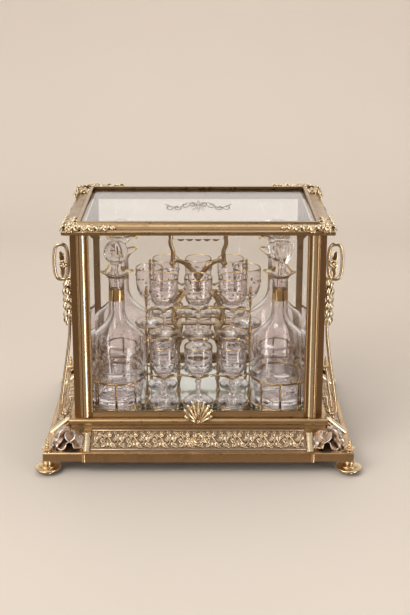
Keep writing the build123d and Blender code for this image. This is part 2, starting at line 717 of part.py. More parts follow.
def rack_columns():
    """Lyre legs above the shelf, with plain columns and balusters below and at the corners."""
    parts = []
    z = tray_top
    for sx in (-1, 1):
        for sy in (-1, 1):
            pts = leg_points(sx, sy)
            leg = joined(chain(pts[:4], leg_r) + [Pos(*pts[3]) * Sphere(leg_r)])
            low = rod((*pts[4][:2], z), pts[4], leg_r)
            bx, by = sx * baluster_x, sy * baluster_y
            post_low = rod((bx, by, z), (bx, by, shelf_top - shelf_t), column_r)
            beads = [Pos(bx, by, z + baluster_h - drop) * Sphere(s) for drop, s in
                     ((19, 2.6), (13, 3.2), (6, 2.7), (0, 2.0))]
            post_high = joined([rod((bx, by, shelf_top), (bx, by, z + baluster_h), column_r), *beads])
            leg = leg - block(-half_w, half_w, -half_d, half_d, shelf_top - 2 * leg_r, shelf_top)
            parts += [leg, low, post_low, post_high]
    return parts


def rack_shelf():
    """Scalloped shelf: a pad under each glass, tied to its neighbours and to the balusters."""
    z0 = shelf_top - shelf_t
    pads = [disc(x, y, pad_r, z0, shelf_t) for x, y in upper_places()]
    half = shelf_bar_w / 2
    bars = [block(-glass_pitch, glass_pitch, y - half, y + half, z0, shelf_top)
            for y in (-upper_row_y, upper_row_y)]
    bars.append(block(-upper_mid_x, upper_mid_x, -half, half, z0, shelf_top))
    for sx in (-1, 1):
        bars.append(block(sx * leg_x - half, sx * leg_x + half, -upper_row_y, upper_row_y, z0, shelf_top))
        for sy in (-1, 1):
            a = (sx * glass_pitch, sy * upper_row_y)
            b = (sx * baluster_x, sy * baluster_y)
            bars.append(disc(b[0], b[1], shelf_ear_r, z0, shelf_t))
            mid = Plane(origin=(a[0], a[1], z0 + shelf_t / 2), x_dir=(b[0] - a[0], b[1] - a[1], 0))
            reach = ((b[0] - a[0]) ** 2 + (b[1] - a[1]) ** 2) ** 0.5
            bars.append(mid * Pos(reach / 2, 0, 0) * Box(reach, shelf_bar_w - 3, shelf_t))
    shelf = joined(pads + bars)
    for x, y in decanter_places():
        shelf -= disc(x, y, body_r + lift_clear, z0 - 1, shelf_t + 2)
    return shelf


def scallops(y_out, y_in, z):
    """A wavy rail in front of a row of three glasses, between two balusters."""
    xs = [-baluster_x, -glass_pitch / 2, glass_pitch / 2, baluster_x]
    ys = [baluster_y, y_in, y_in, baluster_y]
    flat = []
    for x0, x1, y0, y1 in zip(xs, xs[1:], ys, ys[1:]):
        arc = ThreePointArc((x0, -y0), ((x0 + x1) / 2, -y_out), (x1, -y1))
        flat.append(trace(arc, line_width=2 * gallery_rod))
        flat.append(Pos(x0, -y0) * Circle(gallery_rod + 1.0))
        flat.append(Pos(x1, -y1) * Circle(gallery_rod + 1.0))
    return Pos(0, 0, z - gallery_rod) * extrude(joined(flat), amount=2 * gallery_rod)


def rack_galleries():
    z = tray_top
    lower_y, upper_y = lower_row_y + rim_r - lower_gallery_in, upper_row_y + rim_r - upper_gallery_in
    lower = scallops(lower_y, lower_y - gallery_dip, z + lower_gallery_z)
    upper = scallops(upper_y, upper_y - gallery_dip, z + upper_gallery_z)
    posts = [rod((s * baluster_x, -baluster_y, z), (s * baluster_x, -baluster_y, z + baluster_h), column_r)
             for s in (-1, 1)]
    rails = [rail - posts[0] - posts[1] for rail in (lower, upper)]
    return [r for rail in rails for r in mirrors(rail, in_x=False)]


def decanter_cradles():
    """Wire cradles: a pair of linked rings each side, on legs from the tray."""
    z = tray_top + cradle_z
    sides = []
    for sx in (-1, 1):
        parts = [ring(sx * decanter_x, sy * decanter_y, z, cradle_r, cradle_rod) for sy in (-1, 1)]
        inner = decanter_y - cradle_r
        parts.append(rod((sx * decanter_x, -inner, z), (sx * decanter_x, inner, z), cradle_rod + 0.4))
        for x, y in cradle_feet():
            if x * sx > 0:
                parts += [rod((x, y, tray_top), (x, y, z + 1), cradle_rod + 0.2), Pos(x, y, z) * Sphere(2.3)]
                parts.append(disc(x, y, cradle_foot_r, tray_top, 1.6))
        sides += joined(parts).solids()
    return sides


def rack_handle():
    """Y-shaped stem, knobbed arms and a scalloped grip."""
    z = tray_top
    half = handle_w / 2
    bar, top = z + handle_bar_z, z + handle_top_z
    bar_half = leg_x + 0.8
    parts = [rod((-bar_half, 0, bar), (bar_half, 0, bar), handle_rod),
             rod((0, 0, bar), (0, 0, bar + 24), stem_r)]
    for sx in (-1, 1):
        arm = [(0, 0, bar + 22), (0.26 * half, 0, bar + 33), (0.5 * half, 0, bar + 42),
               (0.74 * half, 0, bar + 45), (half - 3, 0, bar + 40), (half - 4, 0, top - 22),
               (half, 0, top - 12), (half, 0, top)]
        parts += chain([(sx * x, y, h) for x, y, h in arm], handle_rod)
        parts += [Pos(sx * (half - 2.5), 0, bar + 41) * Sphere(knob_r),
                  Pos(sx * half, 0, top) * Sphere(handle_rod + 0.8)]
        for sy in (-1, 1):
            head = leg_points(sx, sy)[0]
            parts += [rod((sx * 0.86 * leg_x, 0, bar), head, leg_r + 0.4), Pos(*head) * Sphere(leg_r + 0.4)]
    parts.append(rod((-half, 0, top), (half, 0, top), handle_rod + 0.4))
    for i in range(-3, 4):
        parts.append(Pos(i * half / 6, 0, top - 2) * Sphere(grip_r))
    solid = joined(parts)
    for sx in (-1, 1):
        for sy in (-1, 1):
            pts = leg_points(sx, sy)
            solid -= rod(pts[1], pts[0], leg_r)
            solid -= Pos(*pts[1]) * Sphere(leg_r)
    return solid.solids().sort_by(SortBy.VOLUME)[-1]


# ---------------------------------------------------------------- glassware

def stemmed_glass():
    w = glass_wall
    h = glass_h
    bowl = 0.5 * h          # under side of the bowl
    low_r, mid_r = rim_r * 2 / 3, rim_r * 0.9
    outer = [(0, 0), (glass_foot_r, 0), (glass_foot_r, 1.2), (6.0, 3.2), (3.2, 6.0), (2.7, bowl - 21.5),
             (3.4, bowl - 8.5), (5.5, bowl - 4.5), (low_r, bowl), (mid_r, bowl + 8.5),
             (rim_r, bowl + 21.5), (rim_r, h)]
    inner = [(rim_r - w, h), (rim_r - w, bowl + 21.5), (mid_r - w - 0.2, bowl + 9.5),
             (low_r - w - 0.1, bowl + 2.5), (0, bowl - 0.3)]
    return turned(outer + inner)


def decanter():
    h, t = body_h, decanter_wall
    flare = mouth_z - mouth_h
    fall = [(0.99, -3), (0.96, 2), (0.88, 6), (0.74, 10), (0.45, 18), (0.22, 26), (0.10, 33),
            (0.03, 40)]                             # shoulder, from body to neck
    shoulder = [(neck_r + f * (body_r - neck_r), h + z) for f, z in fall]
    outer = [(0, 0), (base_r - 4, 0), (base_r - 1, 1.5), (base_r, base_turn), (body_r, belly_z), *shoulder,
             (neck_r, h + 46), (neck_r, flare)]
    inner = [(neck_bore, flare), (neck_bore, h + 44), *[(r - t, z - 1.5) for r, z in reversed(shoulder)],
             (body_r - t, belly_z - 2), (base_r - t, 10), (base_r - 7, 7), (0, 6)]
    body = turned(outer + inner)
    z0, z1 = flare, mouth_z
    lip = loft([Pos(0, 0, z0) * Circle(neck_r), Pos(0, 0, z1) * Ellipse(mouth_a, mouth_b)])
    inside = loft([Pos(0, 0, z0) * Circle(neck_bore), Pos(0, 0, z1) * Ellipse(mouth_a - 2, mouth_b - 2)])
    collar = [(neck_r - 0.5, flare - 20), (neck_r + 1.0, flare - 19), (neck_r + 1.0, flare - 5),
              (neck_r - 0.5, flare - 4)]
    return joined([body, lip - inside, turned(collar)])


def stopper(fluted):
    """A cut ball, or a fluted flare, on a ground peg."""
    z, rise = mouth_z, mouth_z + stopper_up - stopper_r
    peg = [(0, z - 34), (neck_bore - peg_gap - 0.6, z - 34), (neck_bore - peg_gap, z - 11.5),
           (8.6, z - 9), (7.4, rise - 2)]
    if fluted:
        head = [(8.0, rise), (stopper_r - 2, rise + 12), (stopper_r + 2, rise + 22),
                (stopper_r, rise + 28), (stopper_r - 8, rise + 31.5), (0, rise + 32.5)]
        return turned(peg + head)
    middle = z + stopper_up
    ball = [(stopper_r * cos(t), middle + stopper_r * sin(t)) for t in
            [radians(-62 + 152 * i / 9) for i in range(9)]]
    return turned(peg + ball + [(0, middle + stopper_r)])


# ---------------------------------------------------------------- build

def main():
    os.makedirs("parts", exist_ok=True)
    outline = plinth_solid()
    frame = lid_frame()
    save("plinth_band", [plinth_band()])
    save("plinth_body", [plinth_body(outline)])
    save("plinth_torus", [plinth_torus()])
    save("plinth_friezes", plinth_friezes(outline))
    save("frieze_pilasters", frieze_pilasters(outline))
    save("keyhole_escutcheon", [escutcheon()])
    save("corner_leaves", corner_leaves(outline))
    save("feet", feet())
    save("foot_studs", foot_studs())
    save("corner_finials", finials())
    save("floor_board", [floor_board()])
    save("floor_mirror", [floor_mirror()])
    save("lock_case", [lock_case()])
    save("lock_bolt", [lock_bolt()])
    save("case_posts", case_posts())
    save("case_rails", case_rails())
    save("right_glass", [side_glass()])
    save("left_glass", [mirror(side_glass(), about=Plane.YZ)])
    save("back_glass", [back_glass()])
    save("side_scrolls", side_scrolls())
    save("hinge_leaves_case", hinge_leaves_case())
    save("hinge_leaves_lid", hinge_leaves_lid())
    save("hinge_pins", hinge_pins())
    save("lid_frame", [frame])
    save("lid_glass", [lid_glass()])
    save("lid_corner_mounts", lid_corner_mounts(frame))
    save("front_stiles", front_stiles())
    save("front_rail", front_rail())
    save("front_glass", [front_glass()])
    save("palmette_pull", [palmette_pull()])
    save("rack_tray", [rack_tray()], rack_y)
    save("rack_columns", rack_columns(), rack_y)
    save("rack_shelf", [rack_shelf()], rack_y)
    save("rack_galleries", rack_galleries(), rack_y)
    save("decanter_cradles", decanter_cradles(), rack_y)
    save("rack_handle", [rack_handle()], rack_y)
    ware = stemmed_glass()
    for i, (x, y) in enumerate(lower_places(), 1):
        save(f"lower_glass_{i}", [Pos(x, y, ware_z) * ware], rack_y)
    for i, (x, y) in enumerate(upper_places(), 1):
        save(f"upper_glass_{i}", [Pos(x, y, shelf_top + seat_gap) * ware], rack_y)
    flask = decanter()
    for i, (x, y) in enumerate(decanter_places(), 1):
        save(f"decanter_{i}", [Pos(x, y, ware_z) * flask], rack_y)
        save(f"stopper_{i}", [Pos(x, y, ware_z) * stopper(x > 0)], rack_y)


if __name__ == "__main__":
    main()
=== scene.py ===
"""Antique tantalus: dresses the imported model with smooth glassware, cast ornament and finishes.

Laid out as an add-on: each piece has its own operator, and main() runs them in order.
Lengths inside the builders are millimetres; MM turns them into metres when a mesh is made.
"""
import json
import math

import bmesh
import bpy
from bpy.props import FloatProperty, FloatVectorProperty, IntProperty, PointerProperty
from mathutils import Matrix, Vector


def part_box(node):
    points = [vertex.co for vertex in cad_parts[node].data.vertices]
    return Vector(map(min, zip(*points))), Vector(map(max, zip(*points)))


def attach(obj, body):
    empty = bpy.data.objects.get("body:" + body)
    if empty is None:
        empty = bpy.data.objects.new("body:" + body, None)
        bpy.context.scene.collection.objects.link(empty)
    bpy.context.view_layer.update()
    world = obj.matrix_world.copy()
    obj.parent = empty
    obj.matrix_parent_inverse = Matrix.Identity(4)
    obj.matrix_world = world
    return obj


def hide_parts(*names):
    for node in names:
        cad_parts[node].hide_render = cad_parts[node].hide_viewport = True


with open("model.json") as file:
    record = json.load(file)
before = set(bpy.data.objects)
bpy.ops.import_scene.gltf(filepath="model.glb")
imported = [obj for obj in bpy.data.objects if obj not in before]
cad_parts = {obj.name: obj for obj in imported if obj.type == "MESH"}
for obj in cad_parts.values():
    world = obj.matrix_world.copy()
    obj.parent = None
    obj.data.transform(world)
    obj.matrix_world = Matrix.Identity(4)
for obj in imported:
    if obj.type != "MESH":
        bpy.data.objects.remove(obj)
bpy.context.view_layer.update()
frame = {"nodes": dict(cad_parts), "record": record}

bl_info = {
    "name": "Antique Tantalus",
    "version": (1, 0, 0),
    "blender": (4, 5, 0),
    "location": "View3D > Sidebar > Tantalus",
    "description": "Builds the dressed pieces of a glazed liqueur case round its packed solids",
    "category": "Object",
}

MM = 0.001
TAU = 2 * math.pi
WELD = 0.01  # vertices nearer than this, in millimetres, are made one
ARRIS = 0.6  # edges sharper than this, in radians, stay crisp
GOLDEN = 0.618034  # share of a turn from one dot of a scattered row to the next

MATERIALS = {}


# ---------------------------------------------------------------- sizes read from the frame

def node_box(node):
    """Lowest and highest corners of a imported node, in millimetres."""
    low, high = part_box(node)
    return low / MM, high / MM


def node_middle(node):
    """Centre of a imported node's box, in millimetres."""
    low, high = node_box(node)
    return (low + high) / 2


def half_width(node):
    """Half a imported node's width in X, in millimetres."""
    low, high = node_box(node)
    return (high.x - low.x) / 2


def body_of(node):
    """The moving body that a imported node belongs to."""
    return next(body for body, nodes in frame["record"]["behaviour"]["bodies"].items() if node in nodes)


# ---------------------------------------------------------------- settings

class TantalusFinishes(bpy.types.PropertyGroup):
    """Colours of the metals and glass."""
    gold: FloatVectorProperty(name="Gold", description="Burnished gilding", subtype="COLOR",
                              default=(0.72, 0.53, 0.30), min=0, max=1)
    # Cream lightens the ridges: partly rubbed gilding, partly painted highlight.
    cream: FloatVectorProperty(name="Cream", description="Gilding rubbed bright on ridges", subtype="COLOR",
                               default=(0.95, 0.84, 0.64), min=0, max=1)
    # Umber darkens the hollows: partly patina, partly painted shade.
    umber: FloatVectorProperty(name="Umber", description="Toned hollows of the gilding", subtype="COLOR",
                               default=(0.12, 0.065, 0.03), min=0, max=1)
    bronze: FloatVectorProperty(name="Bronze", description="Worn gilding of the mouldings", subtype="COLOR",
                                default=(0.54, 0.36, 0.19), min=0, max=1)
    blush: FloatVectorProperty(name="Blush", description="Silvery worn gilding of the relief", subtype="COLOR",
                               default=(0.70, 0.57, 0.48), min=0, max=1)
    clear: FloatVectorProperty(name="Clear", description="Tint of the glassware", subtype="COLOR",
                               default=(0.975, 0.945, 0.96), min=0, max=1)
    plate: FloatVectorProperty(name="Plate", description="Tint of the case's glass", subtype="COLOR",
                               default=(0.955, 0.96, 0.955), min=0, max=1)


class TantalusStage(bpy.types.PropertyGroup):
    """Camera, floor and lights."""
    lens: FloatProperty(name="Lens", description="Focal length", default=64.65, min=20, max=200, unit="CAMERA")
    camera_y: FloatProperty(name="Camera distance", description="Camera in front of the middle", default=1.4858,
                            min=0.5, unit="LENGTH")
    camera_z: FloatProperty(name="Camera height", description="Camera above the floor", default=0.7139,
                            min=0, unit="LENGTH")
    pitch: FloatProperty(name="Pitch", description="Camera's tilt below the horizontal",
                         default=math.radians(14.93), subtype="ANGLE")
    shift_x: FloatProperty(name="Shift X", description="Sideways lens shift", default=0.0109)
    shift_y: FloatProperty(name="Shift Y", description="Upward lens shift", default=-0.15)
    wall: FloatVectorProperty(name="Wall", description="Backdrop", subtype="COLOR", default=(0.77, 0.68, 0.615))
    floor: FloatVectorProperty(name="Floor", description="Floor", subtype="COLOR", default=(0.72, 0.655, 0.60))


class TantalusSizes(bpy.types.PropertyGroup):
    """Counts and sizes of the ornament."""
    ware_sides: IntProperty(name="Ware sides", description="Facets round a piece of glassware", default=64,
                            min=16)
    dots: IntProperty(name="Gilt dots", description="Gilt dots on a glass", default=20, min=0)
    dot_size: FloatProperty(name="Dot size", description="Radius of a gilt dot", default=0.0014, unit="LENGTH")
    motifs: IntProperty(name="Frieze motifs", description="Leaf scrolls on the front frieze", default=16, min=2)


def finishes():
    """The colours in use."""
    return bpy.context.scene.tantalus_finishes


def sizes():
    """The counts and sizes of the ornament in use."""
    return bpy.context.scene.tantalus_sizes


# ---------------------------------------------------------------- shapes

def smooth(points, steps=6, closed=False):
    """Points along a centripetal Catmull-Rom curve; a doubled point makes a corner."""
    pts = [Vector(p) for p in points]
    count = len(pts)
    spans = count if closed else count - 1
    out = []
    for i in range(spans):
        p1, p2 = pts[i], pts[(i + 1) % count]
        if (p2 - p1).length < 1e-6:
            continue
        p0 = pts[(i - 1) % count] if closed or i > 0 else p1 * 2 - p2
        p3 = pts[(i + 2) % count] if closed or i + 2 < count else p2 * 2 - p1
        if (p1 - p0).length < 1e-6:
            p0 = p1 * 2 - p2
        if (p3 - p2).length < 1e-6:
            p3 = p2 * 2 - p1
        d1 = math.sqrt((p1 - p0).length)
        d2 = math.sqrt((p2 - p1).length)
        d3 = math.sqrt((p3 - p2).length)
        m1 = (p1 - p0) / d1 - (p2 - p0) / (d1 + d2) + (p2 - p1) / d2
        m2 = (p2 - p1) / d2 - (p3 - p1) / (d2 + d3) + (p3 - p2) / d3
        m1, m2 = m1 * d2, m2 * d2
        for k in range(steps):
            t = k / steps
            a = 2 * t ** 3 - 3 * t ** 2 + 1
            b = t ** 3 - 2 * t ** 2 + t
            c = -2 * t ** 3 + 3 * t ** 2
            d = t ** 3 - t ** 2
            out.append(p1 * a + m1 * b + p2 * c + m2 * d)
    if not closed:
        out.append(pts[-1])
    return out


def lerp(values, t):
    """A value along a list, at t from 0 to 1."""
    x = min(max(t, 0.0), 1.0) * (len(values) - 1)
    i = min(int(x), len(values) - 2)
    return values[i] + (values[i + 1] - values[i]) * (x - i)


def skin(bm, rows, wrap=True):
    """Quads between rows of vertices."""
    for a, b in zip(rows, rows[1:]):
        n = len(a)
        for i in range(n if wrap else n - 1):
            j = (i + 1) % n
            bm.faces.new((a[i], a[j], b[j], b[i]))


def lathe(bm, profile, centre=(0, 0, 0), sides=48, steps=5, shape=None, band=None):
    """Turns (radius, height) points about Z. Ends on the axis close in a point.

    shape(radius, height, angle) changes the radius or gives the point itself, and
    band(height, share of the way along the profile) picks the material.
    """
    rows = []
    pts = smooth([(r, z, 0) for r, z in profile], steps)
    cx, cy, cz = centre
    for p in pts:
        r, z = max(p.x, 0.0), p.y
        if r < 0.02:
            rows.append([bm.verts.new((cx, cy, cz + z))])
            continue
        ring = []
        for k in range(sides):
            a = TAU * k / sides
            rr = shape(r, z, a) if shape else r
            x, y, dz = rr if isinstance(rr, tuple) else (rr * math.cos(a), rr * math.sin(a), 0.0)
            ring.append(bm.verts.new((cx + x, cy + y, cz + z + dz)))
        rows.append(ring)
    for i, (a, b) in enumerate(zip(rows, rows[1:])):
        m = band((pts[i].y + pts[i + 1].y) / 2, i / len(rows)) if band else 0
        if len(a) == 1 and len(b) == 1:
            continue
        for k in range(sides):
            j = (k + 1) % sides
            if len(a) == 1:
                face = bm.faces.new((a[0], b[j], b[k]))
            elif len(b) == 1:
                face = bm.faces.new((a[k], a[j], b[0]))
            else:
                face = bm.faces.new((a[k], a[j], b[j], b[k]))
            face.material_index = m
    return rows


def ball(bm, centre, radius, squash=(1, 1, 1), level=2, material=0):
    """A bead, squashed along X, Y and Z by the given shares."""
    made = bmesh.ops.create_icosphere(bm, subdivisions=level, radius=radius)
    for v in made["verts"]:
        v.co = Vector((v.co.x * squash[0], v.co.y * squash[1], v.co.z * squash[2])) + Vector(centre)
    for f in {f for v in made["verts"] for f in v.link_faces}:
        f.material_index = material


def tube(bm, points, radii, sides=10, steps=6, closed=False, flat=1.0, up=None):
    """A round or flattened bar along a smooth path, with domed ends."""
    path = smooth(points, steps, closed)
    n = len(path)
    tangents = []
    for i in range(n):
        a = path[(i - 1) % n] if closed or i else path[i]
        b = path[(i + 1) % n] if closed or i < n - 1 else path[i]
        tangents.append((b - a).normalized())
    normal = Vector(up) if up else tangents[0].orthogonal()
    rows = []
    for i, (p, t) in enumerate(zip(path, tangents)):
        normal = Vector(up) if up else normal
        normal = normal - t * normal.dot(t)
        normal.normalize()
        side = t.cross(normal)
        r = lerp(radii, i / max(n - 1, 1)) if isinstance(radii, (list, tuple)) else radii
        rows.append([bm.verts.new(p + (normal * math.cos(a) * flat + side * math.sin(a)) * r)
                     for a in (TAU * k / sides for k in range(sides))])
    if closed:
        skin(bm, rows + [rows[0]])
    else:
        skin(bm, rows)
        for row, p, t in ((rows[0], path[0], -tangents[0]), (rows[-1], path[-1], tangents[-1])):
            r = (row[0].co - p).length / max(flat, 1e-6)
            inner = [bm.verts.new(p + (v.co - p) * 0.62 + t * r * 0.55) for v in row]
            tip = bm.verts.new(p + t * r * 0.8)
            first = row is rows[0]
            skin(bm, (inner, row) if first else (row, inner))
            for k in range(sides):
                j = (k + 1) % sides
                bm.faces.new((tip, inner[j], inner[k]) if first else (inner[k], inner[j], tip))


def leaf(bm, spine, side, width, lobes=0, lobe_depth=0.28, cup=0.25, vein=0.18, thick=0.9, rows=22, cols=8,
         stem=0.25, point=1.0):
    """A closed cast leaf along a spine, with a lobed edge, a cupped section and a raised midrib.

    side is the way across the leaf at its root. cup and vein are the heights of the section and of the
    midrib as shares of the half width, stem is the root's half width and point the tip's.
    """
    path = smooth(spine, max(2, rows // (len(spine) - 1)))
    n = len(path)
    side = Vector(side).normalized()
    top, under = [], []
    for i, p in enumerate(path):
        u = i / (n - 1)
        t = (path[min(i + 1, n - 1)] - path[max(i - 1, 0)]).normalized()
        s = (side - t * side.dot(t)).normalized()
        up = s.cross(t)
        body = math.sin(math.pi * min(1.0, u ** 0.75)) ** 0.8
        half = width / 2 * max(body, stem * (1 - u) + 0.03 * point)
        if lobes:
            wave = abs(math.sin(math.pi * lobes * u))
            half *= 1 - lobe_depth * (1 - wave)
        row_top, row_under = [], []
        for k in range(cols + 1):
            v = 2 * k / cols - 1
            height = cup * half * (1 - v * v) + vein * half * math.exp(-(v / 0.16) ** 2)
            if lobes:
                height += 0.10 * half * math.cos(math.pi * lobes * 2 * u + 3.0 * abs(v)) * abs(v)
            base = p + s * half * v
            row_top.append(bm.verts.new(base + up * (height + thick)))
            row_under.append(bm.verts.new(base + up * (height * 0.8 if 0 < k < cols else height)))
        top.append(row_top)
        under.append(row_under)
    skin(bm, top, wrap=False)
    skin(bm, [list(reversed(r)) for r in under], wrap=False)
    skin(bm, [[r[0] for r in under], [r[0] for r in top]], wrap=False)
    skin(bm, [[r[-1] for r in top], [r[-1] for r in under]], wrap=False)
    for a, b in ((top[0], under[0]), (under[-1], top[-1])):
        skin(bm, [a, b], wrap=False)


def curl(centre, start, turns, r0, r1, plane=((1, 0, 0), (0, 0, 1)), count=10):
    """Points of a volute: start angle in turns, radius from r0 to r1."""
    ex, ez = Vector(plane[0]), Vector(plane[1])
    out = []
    for i in range(count + 1):
        t = i / count
        a = TAU * (start + turns * t)
        r = r0 + (r1 - r0) * t
        out.append(Vector(centre) + ex * math.cos(a) * r + ez * math.sin(a) * r)
    return out


def round_path(centre, radius, count=16):
    """Points of a level circle."""
    x, y, z = centre
    return [(x + radius * math.cos(TAU * k / count), y + radius * math.sin(TAU * k / count), z)
            for k in range(count)]


def rosette(bm, centre, radius, normal=(0, 0, 1), petals=6):
    """A small cast flower facing along normal."""
    n = Vector(normal).normalized()
    a0 = n.orthogonal().normalized()
    b0 = n.cross(a0)
    c = Vector(centre)
    for k in range(petals):
        a = TAU * k / petals
        out = a0 * math.cos(a) + b0 * math.sin(a)
        across = n.cross(out)
        spine = [c + out * radius * 0.12 + n * radius * 0.1, c + out * radius * 0.6 + n * radius * 0.38,
                 c + out * radius + n * radius * 0.12]
        leaf(bm, spine, across, radius * 0.72, rows=8, cols=4, thick=radius * 0.09)
    ball(bm, c + n * radius * 0.3, radius * 0.26)


def corners():
    """The signs of X and Y at the four corners."""
    return [(sx, sy) for sx in (-1, 1) for sy in (-1, 1)]


def to_metres(bm):
    """Gives a millimetre mesh outward faces and its size in metres."""
    bmesh.ops.recalc_face_normals(bm, faces=bm.faces)
    bmesh.ops.scale(bm, vec=(MM, MM, MM), verts=bm.verts)


def mesh_of(name, bm):
    """The mesh of a bmesh, which is used up."""
    mesh = bpy.data.meshes.new(name)
    bm.to_mesh(mesh)
    bm.free()
    return mesh


def welded_mesh(name, bm):
    """A pattern's mesh in metres, closed along its seams and poles."""
    bmesh.ops.remove_doubles(bm, verts=bm.verts, dist=WELD)
    to_metres(bm)
    return mesh_of(name, bm)


def linked(name, data):
    """A new object in the scene."""
    obj = bpy.data.objects.new(name, data)
    bpy.context.scene.collection.objects.link(obj)
    return obj


def make_piece(name, bm, body, finish, replaces=(), sharp=False):
    """Turns a millimetre mesh into a finished piece that rides on a body. sharp keeps its arrises crisp."""
    bmesh.ops.remove_doubles(bm, verts=bm.verts, dist=WELD)
    bmesh.ops.dissolve_degenerate(bm, dist=WELD / 10, edges=bm.edges)
    if sharp:
        bmesh.ops.recalc_face_normals(bm, faces=bm.faces)
        for edge in bm.edges:
            edge.smooth = len(edge.link_faces) == 2 and edge.calc_face_angle() < ARRIS
    to_metres(bm)
    return place_piece(name, mesh_of(name, bm), body, (finish,), replaces)


def place_piece(name, mesh, body, finish_names, replaces=()):
    """Sets a finished mesh in the scene on its body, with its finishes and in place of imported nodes."""
    for finish in finish_names:
        mesh.materials.append(MATERIALS[finish])
    mesh.shade_smooth()
    obj = linked(name, mesh)
    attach(obj, body)
    if replaces:
        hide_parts(*replaces)
    return obj


def mirrored(bm, x=True, y=False):
    """Adds the mirror image across X = 0, and then across Y = 0."""
    for axis in [axis for axis, wanted in ((0, x), (1, y)) if wanted]:
        copy = bmesh.ops.duplicate(bm, geom=bm.verts[:] + bm.edges[:] + bm.faces[:])["geom"]
        for v in [g for g in copy if isinstance(g, bmesh.types.BMVert)]:
            v.co[axis] = -v.co[axis]
        bmesh.ops.reverse_faces(bm, faces=[g for g in copy if isinstance(g, bmesh.types.BMFace)])


# ---------------------------------------------------------------- shader groups and materials

def new_group(name, inputs, outputs):
    """A shader node group with its named inputs and outputs."""
    tree = bpy.data.node_groups.new(name, "ShaderNodeTree")
    for label, kind, value in inputs:
        socket = tree.interface.new_socket(label, in_out="INPUT", socket_type=kind)
        socket.default_value = value
    for label, kind in outputs:
        tree.interface.new_socket(label, in_out="OUTPUT", socket_type=kind)
    return tree, tree.nodes.new("NodeGroupInput"), tree.nodes.new("NodeGroupOutput")


def add(tree, kind, links=(), **values):
    """A node with its properties set and its inputs linked or given."""
    node = tree.nodes.new(kind)
    for key, value in values.items():
        setattr(node, key, value)
    for socket, source in links:
        if isinstance(source, bpy.types.NodeSocket):
            tree.links.new(source, node.inputs[socket])
        else:
            node.inputs[socket].default_value = source
    return node


def ramp(tree, source, stops):
    """A colour ramp's output, from (position, colour) stops."""
    node = add(tree, "ShaderNodeValToRGB", [("Fac", source)])
    points = node.color_ramp.elements
    points[0].position, points[0].color = stops[0]
    points[1].position, points[1].color = stops[-1]
    for position, colour in stops[1:-1]:
        points.new(position).color = colour
    return node.outputs["Color"]


def grey(value):
    """An even grey as a socket's colour."""
    return (value, value, value, 1)


def blend(tree, factor, under, over):
    """Mixes two colours, given or linked. A Mix node's sockets share their labels, so they go by identifier."""
    node = tree.nodes.new("ShaderNodeMix")
    node.data_type = "RGBA"
    sockets = {socket.identifier: socket for socket in node.inputs}
    for label, source in (("Factor_Float", factor), ("A_Color", under), ("B_Color", over)):
        if isinstance(source, bpy.types.NodeSocket):
            tree.links.new(source, sockets[label])
        else:
            sockets[label].default_value = source
    return next(socket for socket in node.outputs if socket.identifier == "Result_Color")


def times(tree, a, b):
    """The product of two values, held between 0 and 1."""
    return add(tree, "ShaderNodeMath", [(0, a), (1, b)], operation="MULTIPLY", use_clamp=True).outputs[0]


